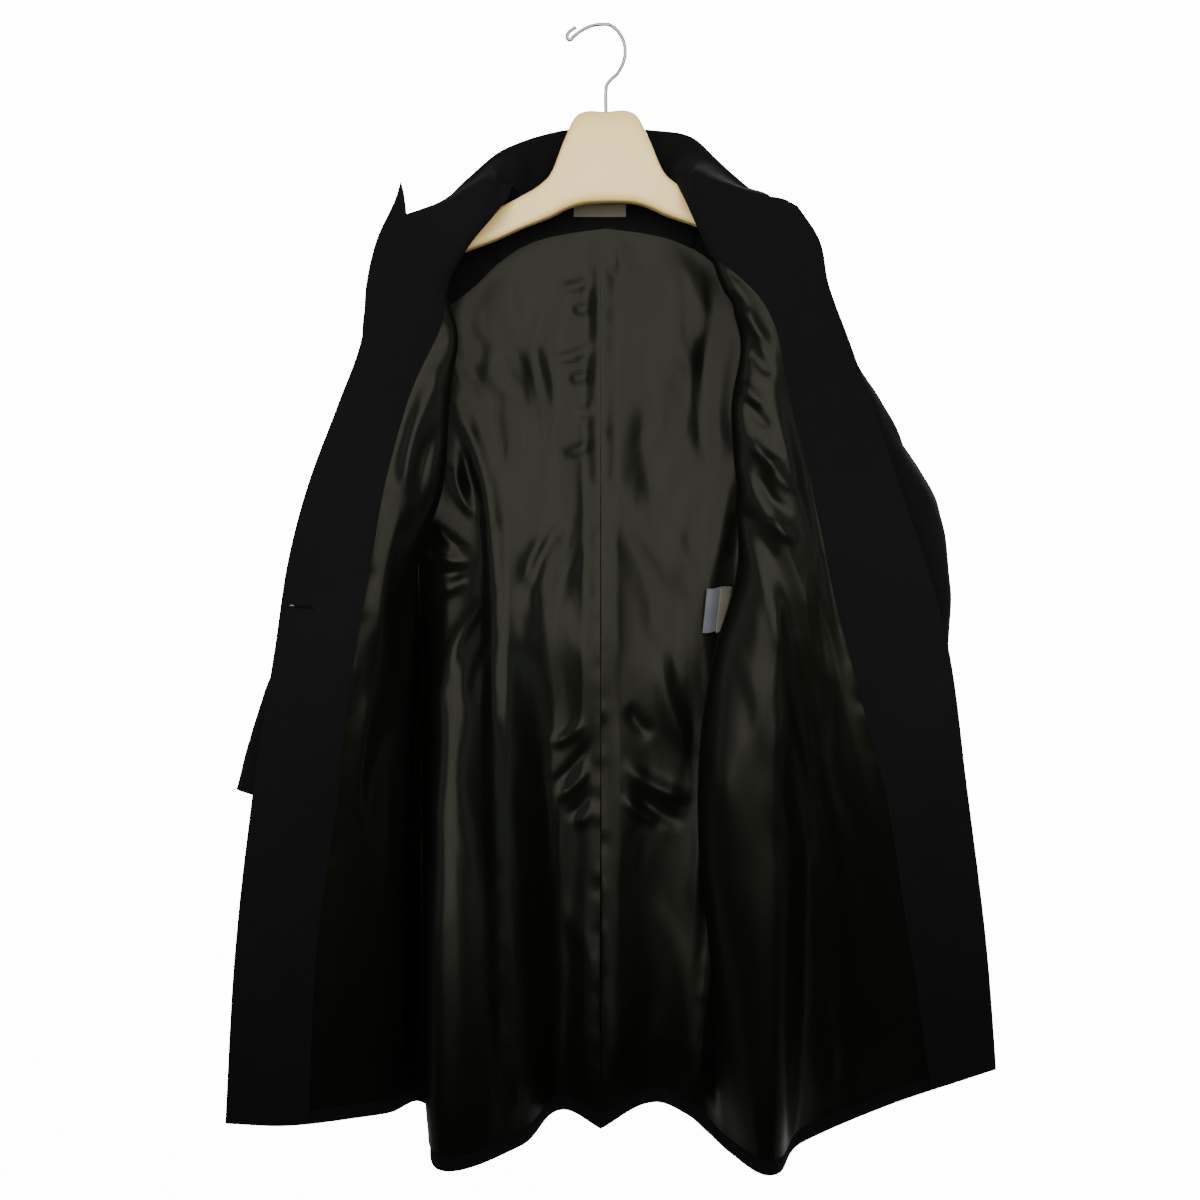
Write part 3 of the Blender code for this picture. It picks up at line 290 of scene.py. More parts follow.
# ridges (height over 0) and troughs in the lining: start, end, width, height, in metres of (x, drop)
innerCreases = [
    ((-.033, .456), (-.071, .524), .0075, .0022), ((-.071, .5), (-.067, .6), .01, .0018),
    ((-.052, .468), (-.08, .53), .0065, -.0017), ((-.02, .48), (-.048, .56), .009, -.0016),
    ((.05, .573), (.087, .69), .01, .0022), ((.019, .635), (.046, .668), .007, -.002),
    ((.012, .69), (.087, .727), .008, .003), ((.02, .712), (.08, .752), .007, -.0022),
    ((.012, .722), (.052, .748), .0055, .002), ((-.058, .674), (-.016, .65), .005, .0028),
    ((-.058, .716), (-.01, .664), .0055, -.0026), ((-.052, .728), (-.01, .69), .005, .0026),
    ((-.04, .745), (-.008, .712), .0055, -.002), ((-.03, .752), (-.006, .728), .005, .002),
    ((-.163, .46), (-.13, .494), .0048, .0026), ((-.171, .488), (-.13, .502), .0045, -.0026),
    ((-.17, .511), (-.128, .508), .0045, .0026), ((-.165, .532), (-.13, .515), .005, -.0022),
    ((-.112, .53), (-.148, .61), .006, .003), ((-.147, .605), (-.172, .69), .008, .0024),
    ((-.147, .4), (-.124, .462), .0055, -.0026), ((-.136, .384), (-.117, .448), .0055, .0024),
    ((-.098, .56), (-.128, .64), .007, -.002), ((-.15, .64), (-.135, .76), .008, -.0022),
    ((.009, .186), (.011, .228), .0045, -.0024), ((-.115, .29), (-.085, .35), .009, .002),
    ((-.09, .3), (-.105, .42), .011, -.002), ((.06, .23), (.085, .33), .012, .002),
    ((.04, .33), (.055, .46), .012, -.0018), ((.085, .42), (.07, .54), .011, .0018),
    ((-.05, .24), (-.062, .37), .011, .0018), ((.105, .26), (.098, .42), .009, -.002),
]
# short puckers that run into the centre seam: reach sideways and rise
seamPuckers = ((.040, .012), (.026, .004), (.046, .016), (.030, .007), (.022, .010), (.034, .014))
for count, (reach, lift) in enumerate(seamPuckers):
    drop = .222 + .031 * count + .4 * lift
    height = .0016 if count % 2 else -.0016
    innerCreases.append(((-.008 - reach, drop + lift), (-.008, drop), .0055, height))
frontCreases = [
    ((.129, .388), (.16, .42), .0055, .0028), ((.135, .416), (.168, .464), .0055, -.0026),
    ((.141, .4), (.172, .442), .0055, .0024), ((.148, .46), (.17, .484), .005, .0026),
    ((.16, .53), (.161, .59), .006, .0024), ((.166, .57), (.197, .684), .008, -.003),
    ((.106, .23), (.127, .254), .005, .0026), ((.111, .256), (.132, .276), .005, -.0024),
    ((.124, .262), (.151, .309), .0055, .0028), ((.13, .304), (.154, .336), .0055, -.0024),
    ((.124, .338), (.144, .364), .0055, .0024), ((.128, .352), (.15, .384), .0055, -.002),
    ((.18, .5), (.205, .62), .008, .0024), ((.205, .6), (.235, .76), .009, -.0024),
    ((.16, .62), (.17, .78), .009, .0026), ((.214, .7), (.25, .88), .01, .002),
    ((-.16, .35), (-.181, .445), .0065, .0026), ((-.18, .44), (-.204, .602), .007, .0024),
    ((-.202, .595), (-.228, .74), .008, .0026), ((-.15, .372), (-.17, .47), .006, -.0024),
    ((-.166, .48), (-.192, .62), .007, -.0024), ((-.19, .62), (-.214, .78), .008, -.0026),
    ((-.168, .3), (-.16, .352), .0055, -.002), ((-.214, .56), (-.236, .7), .007, -.0018),
]


# heights of the cloth's waves, from the slowest to the finest, and how strong the drawn creases are
relief = {
    "woolSlow": 0.0011, "woolFine": 0.0005,
    "satinLong": 0.0015, "satinMiddle": 0.00090, "satinFine": 0.00024, "creases": 0.95,
}


def woolWave(x, drop, seed):
    return (relief["woolSlow"] * noise(x, drop, 0.060, 0.170, seed)
            + relief["woolFine"] * noise(x, drop, 0.028, 0.070, seed + 1))


def liningWave(x, depth, drop, seed):
    low = ease((drop - 0.62) / 0.30)
    warped = x + 0.016 * noise(x, drop, 0.07, 0.09, seed + 3)
    height = relief["satinLong"] * noise(warped + 0.08 * drop, drop, 0.036, 0.190, seed)
    middle = noise(warped - 0.20 * drop, drop, 0.021, 0.080, seed + 1)
    height += relief["satinMiddle"] * middle * (1 - 0.5 * low)
    height += relief["satinFine"] * noise(warped, drop, 0.010, 0.034, seed + 2) * (1 - 0.8 * low)
    front = ease((-depth - 0.005) / 0.03)
    for start, end, width, size in innerCreases:
        height += crease(x, drop, start, end, width, relief["creases"] * size) * (1 - front)
    for start, end, width, size in frontCreases:
        height += crease(x, drop, start, end, width, relief["creases"] * size) * front
    return height


# Building meshes and telling the frame about them
def turnOutward(mesh, joinWithin=0):
    build = bmesh.new()
    build.from_mesh(mesh)
    if joinWithin:
        bmesh.ops.remove_doubles(build, verts=build.verts, dist=joinWithin)
    bmesh.ops.recalc_face_normals(build, faces=build.faces)
    build.to_mesh(mesh)
    build.free()


def ringFaces(rings, count):
    # the four-sided faces between rings of count corners each
    faces = []
    for r in range(rings - 1):
        for k in range(count):
            n = (k + 1) % count
            faces.append((r * count + k, r * count + n, (r + 1) * count + n, (r + 1) * count + k))
    return faces


def shell(name, near, far, material):
    # a closed thin shell between two grids of the same size
    rows, columns = near.shape[:2]
    count = rows * columns
    index = np.arange(count).reshape(rows, columns)
    quads = np.stack([index[:-1, :-1], index[:-1, 1:], index[1:, 1:], index[1:, :-1]], axis=-1).reshape(-1, 4)
    faces = [quads, quads[:, ::-1] + count]
    for line in (index[0], index[-1][::-1], index[::-1, 0], index[:, -1]):
        a, b = line[:-1], line[1:]
        faces.append(np.stack([b, a, a + count, b + count], axis=-1))
    faces = np.concatenate(faces)
    mesh = bpy.data.meshes.new(name)
    mesh.from_pydata(np.concatenate([near.reshape(-1, 3), far.reshape(-1, 3)]).tolist(), [], faces.tolist())
    mesh.update()
    turnOutward(mesh)
    return addPiece(name, mesh, material)


def addPiece(name, mesh, material, angle=40):
    piece = bpy.data.objects.new(name, mesh)
    bpy.context.scene.collection.objects.link(piece)
    mesh.materials.append(material)
    mesh.shade_smooth()
    mesh.set_sharp_from_angle(angle=math.radians(angle))
    return piece


def tell(piece, nodes):
    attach(piece, "root")
    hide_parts(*nodes)
    return piece


# Materials
def newMaterial(name):
    made = bpy.data.materials.new(name)
    made.use_nodes = True
    tree = made.node_tree
    return made, tree, tree.nodes["Principled BSDF"]


def addNode(tree, kind, settings=None, links=()):
    node = tree.nodes.new(kind)
    for key, value in (settings or {}).items():
        if key in node.inputs:
            node.inputs[key].default_value = value
        else:
            setattr(node, key, value)
    for source, socket in links:
        tree.links.new(source, node.inputs[socket])
    return node


def setSockets(shader, values):
    for name, value in values.items():
        shader.inputs[name].default_value = value


def clothMaterial(name, look):
    # colour with a slow drift, a fine bump for the thread or nap, and constant surface values
    made, tree, shader = newMaterial(name)
    spot = addNode(tree, "ShaderNodeTexCoord").outputs["Object"]
    drift = addNode(tree, "ShaderNodeTexNoise", {"Scale": 1 / look["driftSize"], "Detail": 3.0},
                    [(spot, "Vector")])
    mix = addNode(tree, "ShaderNodeMix", {"data_type": "RGBA"}, [(drift.outputs["Fac"], "Factor")])
    mix.inputs["A"].default_value = srgb(look["colour"])
    mix.inputs["B"].default_value = srgb(look["secondColour"])
    tree.links.new(mix.outputs["Result"], shader.inputs["Base Color"])
    fine = addNode(tree, "ShaderNodeTexNoise",
                   {"Scale": 1 / look["threadSize"], "Detail": 4.0, "Roughness": 0.65}, [(spot, "Vector")])
    bump = addNode(tree, "ShaderNodeBump", {"Strength": look["bump"], "Distance": look["bumpHeight"]},
                   [(fine.outputs["Fac"], "Height")])
    tree.links.new(bump.outputs["Normal"], shader.inputs["Normal"])
    setSockets(shader, look["sockets"])
    return made


woolLook = {
    "colour": "#131312", "secondColour": "#0e0e0e", "driftSize": 0.09, "threadSize": 0.0011,
    "bump": 0.55, "bumpHeight": 0.0006,
    "sockets": {"Roughness": 1.0, "Specular IOR Level": 0.04, "Sheen Weight": 0.012, "Sheen Roughness": 0.5},
}
satinLook = {
    "colour": "#0e0f08", "secondColour": "#0a0c0a", "driftSize": 0.14, "threadSize": 0.0005,
    "bump": 0.10, "bumpHeight": 0.0002,
    "sockets": {"Roughness": 0.29, "Specular IOR Level": 0.085, "Specular Tint": (1.0, 0.965, 0.76, 1.0)},
}


def plainMaterial(name, code, sockets):
    made, tree, shader = newMaterial(name)
    shader.inputs["Base Color"].default_value = srgb(code)
    setSockets(shader, sockets)
    return made


# matt black that swallows light; the drift and nap keep it from looking flat
wool = clothMaterial("melton wool, milled matt", woolLook)
# the same cloth where it faces the viewer, as a colour slot of its own
insideWool = clothMaterial("melton wool inside, milled matt", woolLook)
# olive black with broad, blurred, warm highlights along the folds
satin = clothMaterial("polyester satin lining, soft shine", satinLook)
# warm ivory with a soft half gloss and a little light coming through thin edges
ivory = plainMaterial("moulded plastic, ivory half gloss", "#ffdc88", {
    "Roughness": 0.34, "Specular IOR Level": 0.5, "Subsurface Weight": 0.15, "Subsurface Scale": 0.004})
# a dark metal that mirrors the lights as thin bright lines
chrome = plainMaterial("chrome plate, polished", "#7f8182", {"Roughness": 0.12, "Metallic": 1.0})
# cream label tape, its colour darkened to a dull brown as painted shade of the collar
shadedCreamLabel = plainMaterial("woven label, cream with painted shade", "#57503f", {"Roughness": 0.75})
# the two leaves in the side seam, one warm and one cool, so they read apart
whiteLabel = plainMaterial("label tape, bare cream white", "#8d8878", {"Roughness": 0.55})
greyLabel = plainMaterial("satin label tape, bare silver grey", "#6d6f74", {"Roughness": 0.42})
# black with a small sharp highlight on the rim
hornBlack = plainMaterial("polyester button, black half gloss", "#111111", {"Roughness": 0.28})
# black stitches that only show as an edge, and one pale end that shows as a speck
thread = plainMaterial("sewing thread, black", "#080808", {"Roughness": 1.0, "Specular IOR Level": 0.05})
paleThread = plainMaterial("sewing thread, pale", "#8f8b80", {"Roughness": 0.7})

# Panels of the body. "stretch" is the part of a half from which to which the panel runs: 0 back, 1 side,
# 2 front up to the facing's edge, 3 facing. "columns" and "rows" set how fine it is.
panels = {
    "back": {"stretch": (0, 0), "columns": 60, "rows": 110, "layer": "wool"},
    "side": {"stretch": (1, 1), "columns": 60, "rows": 90, "layer": "wool"},
    "front": {"stretch": (2, 3), "columns": 100, "rows": 110, "layer": "wool"},
    "facing": {"stretch": (3, 3), "columns": 60, "rows": 110, "layer": "facing"},
    "lining_back": {"stretch": (0, 0), "columns": 110, "rows": 220, "layer": "lining"},
    "lining_side": {"stretch": (1, 1), "columns": 100, "rows": 180, "layer": "lining"},
    "lining_front": {"stretch": (2, 2), "columns": 80, "rows": 200, "layer": "lining"},
}
# (out from the middle, drop) of the back lining's upper edge, and (share, drop) along the armhole
liningTop = ((0, .180), (.035, .185), (.06, .192), (.09, .207), (.13, .236), (.22, .275))
armhole = ((0, .345), (.18, .366), (.36, .382), (.56, .392), (.78, .383), (1, .356))


def liningTopDrop(out):
    return smoothTable(*zip(*liningTop), out)


def stretchBounds(half, stretch, drop):
    seams = half.seamPlaces(drop)
    starts = np.concatenate([np.zeros((len(seams), 1)), seams], axis=1)
    ends = np.concatenate([seams, np.full((len(seams), 1), 8.0)], axis=1)
    return starts[:, stretch[0]], ends[:, stretch[1]]


def evenPlaces(half, stretch, drop, shares):
    # places that lie evenly along the cloth, closer together where it turns
    low, high = stretchBounds(half, stretch, np.array([drop]))
    fine = np.linspace(low[0], high[0], 400)
    line = half.flat(fine, np.full(400, drop))
    steps = np.diff(line, axis=0)
    heading = np.unwrap(np.arctan2(steps[:, 1], steps[:, 0]))
    cost = np.linalg.norm(steps, axis=1) + 0.012 * np.abs(np.diff(heading, prepend=heading[0])) + 1e-9
    run = np.concatenate([[0], np.cumsum(cost)])
    return np.interp(shares * run[-1], run, fine)


def armholeDrop(share):
    return np.interp(share, *zip(*armhole))


def placesAt(table, levels, drop):
    # the even places at each column's own drop, between the levels of the table
    step = levels[1] - levels[0]
    k = np.clip(((drop - levels[0]) / step).astype(int), 0, len(levels) - 2)
    t = np.clip((drop - levels[k]) / step, 0, 1)
    spread = np.arange(table.shape[1])
    return table[k, spread] * (1 - t) + table[k + 1, spread] * t


def topPlaces(half, stretch, shares):
    # the cut's upper edge, where the panel ends on the neck, the shoulder seam or the gorge
    levels = np.linspace(firstLevel, 0.30, 33)
    table = np.array([evenPlaces(half, stretch, level, shares) for level in levels])
    places = table[8]
    for _ in range(8):
        places = placesAt(table, levels, half.top(places))
    return places, half.top(places)


def panelGrid(half, name, spec, hemUp):
    # rows of points from the panel's upper edge to its hem, with the even places smoothed over the drops
    shares = np.linspace(0, 1, spec["columns"] + 1)
    levels = np.linspace(firstLevel, 1.06, 93)
    table = np.array([evenPlaces(half, spec["stretch"], level, shares) for level in levels])
    kernel = np.ones(5) / 5
    padded = np.concatenate([table[:1]] * 2 + [table] + [table[-1:]] * 2)
    table = np.stack([np.convolve(padded[:, c], kernel, mode="valid") for c in range(len(shares))], axis=1)
    edgePlaces, tops = topPlaces(half, spec["stretch"], shares)
    if name.endswith("side"):
        tops = armholeDrop(shares)
    elif name == "lining_back":
        out = np.abs(half.point(edgePlaces, tops)[:, 0])
        tops = np.maximum(liningTopDrop(out), tops + 0.012)
    hems = smoothTable(range(9), half.hem, placesAt(table, levels, np.full(len(shares), 1.02))) - hemUp
    rise = np.linspace(0, 1, spec["rows"] + 1) ** 1.15
    points = []
    for t in rise:
        drop = tops + (hems - tops) * t
        places = placesAt(table, levels, drop)
        if not (name.endswith("side") or name == "lining_back"):
            near = ease(1 - t * 12)
            places = places * (1 - near) + edgePlaces * near
        points.append(half.point(places, drop))
    return np.array(points), shares, rise


def shapePanel(half, name, spec):
    layer = spec["layer"]
    hemUp = cloth["hemStep"] if layer == "lining" else (0.001 if layer == "facing" else 0.0)
    points, shares, rise = panelGrid(half, name, spec, hemUp)
    normals = unit(facetMean(points, half.side))
    x, drop = points[..., 0], -points[..., 2]
    seed = 3 if half.side > 0 else 11
    # every layer follows the wool's slow wave, so that no layer comes through another
    points = points + normals * woolWave(x, drop, seed)[..., None]
    run = np.concatenate([np.zeros((len(rise), 1)),
                          np.cumsum(np.linalg.norm(np.diff(points, axis=1), axis=2), axis=1)], axis=1)
    edge = np.minimum(run, run[:, -1:] - run)
    if layer == "wool":
        edge = np.minimum(edge, 0.02)
        dip = 0.0004 * np.exp(-(edge / 0.0015) ** 2)[..., None]
        return points - normals * (cloth["wool"] - dip), points
    lift = cloth["gap"] + (0.0006 if layer == "facing" else 0.0005)
    extra = np.zeros_like(x)
    if layer == "lining":
        inside = ease(edge / 0.018) * ease(rise * 16)[:, None] * ease((1 - rise) * 14)[:, None]
        extra = np.maximum(liningWave(x, points[..., 1], drop, seed + 5) + 0.0030, 0) * inside
        pucker = np.exp(-(edge / 0.008) ** 2) * 0.0006 * noise(x, drop, 0.05, 0.014, seed + 9)
        ends = ease(rise * 30) * ease((1 - rise) * 30)
        extra = extra + np.maximum(pucker + 0.0005, 0) * ends[:, None]
    start = points + normals * (lift + extra)[..., None]
    thick = cloth["lining" if layer == "lining" else "wool"]
    return start, start + normals * thick


# each layer's name and the material its cloth gets
slots = {
    "wool": ("black_wool", wool),
    "facing": ("black_wool_inside", insideWool),
    "lining": ("olive_black_satin", satin),
}
pieceGrids = {}
for side, half in halves.items():
    for name, spec in panels.items():
        near, far = shapePanel(half, name, spec)
        pieceGrids[name, side] = (near, far)
        slotName, look = slots[spec["layer"]]
        piece = shell(f"{name}_{side}_cloth", near, far, look)
        tell(piece, [f"{name}_{side}"])
    print("panels", side)


# The wool band inside the back neck
neckBand = {"rows": 14, "pastLining": 0.002, "pastNeck": 0.012, "cut": (0.21, 0.060), "area": 0.0105}


def makeNeckFacing():
    lines = {}
    for side, half in halves.items():
        inner = pieceGrids["back", side][1]
        normals = unit(facetMean(inner, half.side))
        x = np.abs(inner[0, :, 0])
        last = int(np.argmax(x > half.neckSpot()[0] + neckBand["pastNeck"]))
        rows = []
        for share in np.linspace(0, 1, neckBand["rows"]):
            lower = liningTopDrop(np.abs(inner[0, :last, 0])) + neckBand["pastLining"]
            drop = -inner[0, :last, 2] * (1 - share) + lower * share
            row = []
            for c in range(last):
                column = inner[:, c]
                at = np.interp(drop[c], -column[:, 2], np.arange(len(column)))
                k = min(int(at), len(column) - 2)
                t = at - k
                point = column[k] * (1 - t) + column[k + 1] * t
                row.append(point + normals[k, c] * (cloth["gap"] + 0.0007))
            rows.append(row)
        lines[side] = np.array(rows)
    both = np.concatenate([lines["right"][:, ::-1], lines["left"][:, 1:]], axis=1)
    normals = unit(facetMean(both, 1))
    if normals[5, both.shape[1] // 2, 1] > 0:
        normals = -normals
    piece = shell("back_neck_facing_cloth", both, both + normals * cloth["wool"], insideWool)
    tell(piece, ["back_neck_facing"])


makeNeckFacing()

# Collar. "edges" is its free edge, as (share of the way to the notch, out, depth, drop).
collar = {
    "rows": 36, "belowSeam": .0012, "cut": (.5, .085), "area": .03,
    "right": ((0, .005, .045, .0843), (.2, .04, .043, .087), (.4, .078, .036, .0985),
              (.55, .103, .024, .113), (.7, .128, .006, .1395), (.85, .152, -.032, .172),
              (1, .1735, -.05, .184)),
    "left": ((0, -.005, .045, .0843), (.2, .042, .043, .0865), (.4, .082, .036, .095),
             (.55, .103, .026, .1165), (.7, .118, .011, .135), (.85, .134, -.018, .156),
             (1, .146, -.048, .168)),
}


def neckLine(side):
    # the seam the collar is sewn to: the back's neck edge, then the lapel's gorge
    half = halves[side]
    back = pieceGrids["back", side][1][0]
    last = int(np.argmax(np.abs(back[:, 0]) > half.neckSpot()[0] - 0.001))
    gorgePlaces = np.linspace(half.roll, half.notch, 60)
    drops = np.interp(gorgePlaces, half.gorge[:, 0], half.gorge[:, 1])
    gorge = half.point(gorgePlaces, drops)
    shares = np.linspace(0, 1, 90)
    return evenly(np.concatenate([back[:last], gorge]), shares), shares


def collarSide(side):
    half = halves[side]
    edge, shares = neckLine(side)
    table = np.array(collar[side])
    ends = smoothTable(table[:, 0], table[:, 1:], shares)
    end = np.stack([half.side * ends[:, 0], ends[:, 1], -ends[:, 2]], axis=1)
    start = edge - np.array((0, 0, collar["belowSeam"]))
    reach = np.linalg.norm(end - start, axis=1, keepdims=True)
    rise = np.minimum(reach / 0.055, 1)
    up = np.array((0, 0, 1.0))
    pullStart = up * 0.85 * reach * rise + (end - start) * (1 - rise)
    pullEnd = np.array((0, -0.07, 0.7)) * reach * rise + (end - start) * (1 - rise)
    t = np.linspace(0, 1, collar["rows"] + 1)[:, None, None]
    return hermite(t, start, pullStart, end, pullEnd)[::-1]


def makeCollar():
    right, left = collarSide("right"), collarSide("left")
    middle = (right[:, :1] + left[:, :1]) / 2
    points = np.concatenate([right[:, :0:-1], middle, left[:, 1:]], axis=1)
    blend = points.copy()
    centre = points.shape[1] // 2
    for c in range(centre - 6, centre + 7):
        blend[:, c] = points[:, c - 4:c + 5].mean(axis=1)
    points = blend
    normals = unit(facetMean(points))
    if normals[10, centre, 1] > 0:
        normals = -normals
    points = points + normals * woolWave(points[..., 0] * 1.3, points[..., 1] - points[..., 2], 23)[..., None]
    under = shell("under_collar_cloth", points - normals * cloth["wool"], points, wool)
    tell(under, ["under_collar"])
    upper = shell("upper_collar_cloth", points + normals * cloth["gap"],
                  points + normals * (cloth["gap"] + cloth["wool"]), insideWool)
    tell(upper, ["upper_collar"])


makeCollar()
print("collar")

# Sleeves. Each ring has (out, drop) of its outer and of its inner end, then depth and half thickness.
sleeve = {
    "around": 96, "rows": 110, "outOfArmhole": .0008, "waveLimit": .0015,
    "upper": ((.27, .56), .115), "under": ((.13, .44), .042),
    "right": ((.214, .212, .1985, .396, .003, .043), (.222, .25, .199, .412, .012, .046),
              (.233, .32, .199, .436, .016, .049), (.25, .4, .199, .47, .018, .05),
              (.268, .48, .201, .52, .017, .049), (.293, .56, .209, .58, .013, .044),
              (.321, .628, .218, .65, .006, .035), (.3456, .7125, .228, .738, .002, .027)),
    "left": ((.2015, .222, .1985, .396, .004, .043), (.22, .284, .199, .412, .012, .046),
             (.259, .35, .2, .44, .016, .049), (.284, .395, .203, .468, .018, .05),
             (.3135, .446, .208, .506, .017, .048), (.3215, .52, .212, .56, .014, .044),
             (.317, .62, .206, .64, .008, .035), (.31, .728, .19, .74, .004, .027)),
}


def sleeveGrid(side):
    half = halves[side]
    back = pieceGrids["back", side][1][:, -1]
    under = pieceGrids["side", side][1][0]
    front = pieceGrids["front", side][1][:, 0]
    back = back[-back[:, 2] < 0.345]
    front = front[-front[:, 2] < 0.356][::-1]
    loop = np.concatenate([back, under[2:-2], front])
    loop = np.concatenate([loop, loop[:1]])
    shares = np.linspace(0, 1, sleeve["around"], endpoint=False)
    first = evenly(loop, shares)
    first[:, 0] += half.side * sleeve["outOfArmhole"]
    first[:, 2] += 0.0010 * np.maximum(np.cos(2 * np.pi * shares), 0) ** 3
    rings = [first]
    fine = np.linspace(0, 2 * np.pi, 361)
    for n, (outerOut, outerDrop, innerOut, innerDrop, depth, halfThick) in enumerate(sleeve[side]):
        outer = np.array((half.side * outerOut, depth, -outerDrop))
        inner = np.array((half.side * innerOut, depth, -innerDrop))
        line = outer + (inner - outer) * ((1 - np.cos(fine)) / 2)[:, None]
        line = line + np.outer(np.sin(fine), (0, halfThick, 0))
        ring = evenly(line, shares)
        keep = (0.75, 0.40)[n] if n < 2 else 0
        ring[:, 1] += (first[:, 1] - ring[:, 1]) * keep
        rings.append(ring)
    rings = np.array(rings)
    steps = np.linalg.norm(np.diff(rings, axis=0), axis=2).mean(axis=1)
    keys = np.concatenate([[0], np.cumsum(steps)])
    return smoothTable(keys, rings, np.linspace(0, keys[-1], sleeve["rows"] + 1)), keys[-1]


def makeSleeve(side):
    half = halves[side]
    rings, length = sleeveGrid(side)
    closed = np.concatenate([rings, rings[:, :1]], axis=1)
    total = -facetMean(closed, 1) * half.side
    total[:, 0] += total[:, -1]
    normals = unit(total[:, :-1])
    rows, around = rings.shape[:2]
    turn = np.arange(around)[None, :] / around * 0.42
    run = np.linspace(0, length, rows)[:, None]
    share = np.linspace(0, 1, rows)[:, None]
    wave = 0.0030 * noise(turn + 0.35 * run, run, 0.055, 0.060, 31)
    wave += 0.0014 * noise(turn, run, 0.03, 0.024, 32)
    wave = wave * ease(share * 7) * ease((1 - share) * 9)
    rings = rings + normals * np.minimum(wave, sleeve["waveLimit"])[..., None]
    seam = around // 3
    parts = {
        "upper": [k % around for k in range(-seam, seam + 1)],
        "under": list(range(seam, around - seam + 1)),
    }
    for part, columns in parts.items():
        inner = rings[:, columns]
        piece = shell(f"{part}_sleeve_{side}_cloth", inner, inner + normals[:, columns] * cloth["wool"], wool)
        tell(piece, [f"{part}_sleeve_{side}"])


for side in halves:
    makeSleeve(side)
print("sleeves")

# Hanger. Each row has (out from the middle, top, bottom, depth, half thickness) of the moulding.
hanger = {
    "rows": ((0, .081, .1644, 0, .012), (.022, .0812, .1655, 0, .012),
             (.03, .087, .1672, 0, .0118), (.04, .108, .1708, 0, .0115),
             (.052, .137, .177, -.001, .0106), (.063, .1485, .1815, -.002, .0096),
             (.08, .1585, .188, -.003, .0085), (.105, .1705, .1985, -.002, .0088),
             (.135, .182, .209, -.002, .0085), (.155, .19, .216, -.002, .0078),
             (.172, .197, .219, -.002, .0062), (.178, .203, .215, -.002, .004)),
    "tilt": 1.0,                # degrees, down at the wearer's right
    "edgeSoftness": 0.42,       # 1 is a round section, near 0 a box
    "corners": 72,
}


def makeHanger():
    table = np.array(hanger["rows"])
    outs = np.concatenate([np.linspace(0, 0.020, 10, endpoint=False),
                           np.linspace(0.020, 0.045, 30, endpoint=False), np.linspace(0.045, 0.178, 70)])
    values = smoothTable(table[:, 0], table[:, 1:], outs)
    count = hanger["corners"]
    turns = np.linspace(0, 2 * np.pi, count, endpoint=False)
    c, s = np.cos(turns), np.sin(turns)
    power = hanger["edgeSoftness"]
    across = np.sign(c) * np.abs(c) ** power
    upright = np.sign(s) * np.abs(s) ** power
    rings = []
    for out, (top, bottom, depth, halfThick) in zip(outs, values):
        rings.append(np.stack([np.full(count, out), depth + across * halfThick,
                               -(top + bottom) / 2 + upright * (bottom - top) / 2], axis=1))
    rings = np.array(rings)
    mirrored = rings[:0:-1] * np.array((-1, 1, 1))
    rings = np.concatenate([mirrored, rings])
    mesh = bpy.data.meshes.new("hanger")
    faces = ringFaces(len(rings), count)
    faces.append(tuple(range(count)))
    faces.append(tuple(range((len(rings) - 1) * count, len(rings) * count)))
    mesh.from_pydata(rings.reshape(-1, 3).tolist(), [], faces)
    turnOutward(mesh)
    tilt = math.radians(hanger["tilt"])
    piece = addPiece("hanger_moulding", mesh, ivory, 55)
    piece.rotation_euler = (0, -tilt, 0)
    # the tilt turns about the rail, so this brings the neck block back under the hook
    piece.location = (-0.0819 * math.sin(tilt), 0, 0)
    tell(piece, ["hanger_body"])


makeHanger()

hook = {
    "wire": .0034,
    # (out, drop) of the wire's middle, from inside the neck block to the rolled end
    "route": ((0, .101), (0, .082), (0, .06), (.001, .0545), (.005, .0495),
              (.01, .045), (.0145, .038), (.0175, .029), (.0178, .02), (.0152, .011), (.01, .0035),
              (.003, -.0014), (-.005, -.0017), (-.014, -.0002), (-.022, .0035), (-.029, .0085),
              (-.034, .013), (-.0362, .011), (-.0356, .0068), (-.0322, .0035), (-.028, .0008)),
}


def tube(name, route, width, material, resolution=5):
    curve = bpy.data.curves.new(name, "CURVE")
    curve.dimensions = "3D"
    curve.bevel_depth = width / 2
    curve.bevel_resolution = resolution
    curve.use_fill_caps = True
    spline = curve.splines.new("POLY")
    spline.points.add(len(route) - 1)
    for spot, place in zip(spline.points, route):
        spot.co = (*place, 1.0)
    curve.materials.append(material)
    piece = bpy.data.objects.new(name, curve)
    bpy.context.scene.collection.objects.link(piece)
    return piece


def makeHook():
    spots = np.array([(x, 0, -drop) for x, drop in hook["route"]])
    keys = runAlong(spots)
    smooth = smoothTable(keys, spots, np.linspace(0, keys[-1], 140))
    tell(tube("hook_wire", smooth.tolist(), hook["wire"], chrome), ["hook"])


makeHook()
print("hanger")


# Button on the outer side of the left front, seen only from behind
button = {
    "drop": 0.545, "place": 7.62,       # place in named points round the left half, near the front edge
    "radius": 0.0115, "thickness": 0.0036, "shank": 0.0006, "corners": 64,
    # (share of the radius, share of the thickness) from the middle of the face to the middle of the back
    "profile": ((0.0, 0.30), (0.45, 0.30), (0.62, 0.45), (0.80, 0.98), (0.92, 1.0), (1.0, 0.75), (1.0, 0.35),
                (0.90, 0.0), (0.0, 0.0)),
}


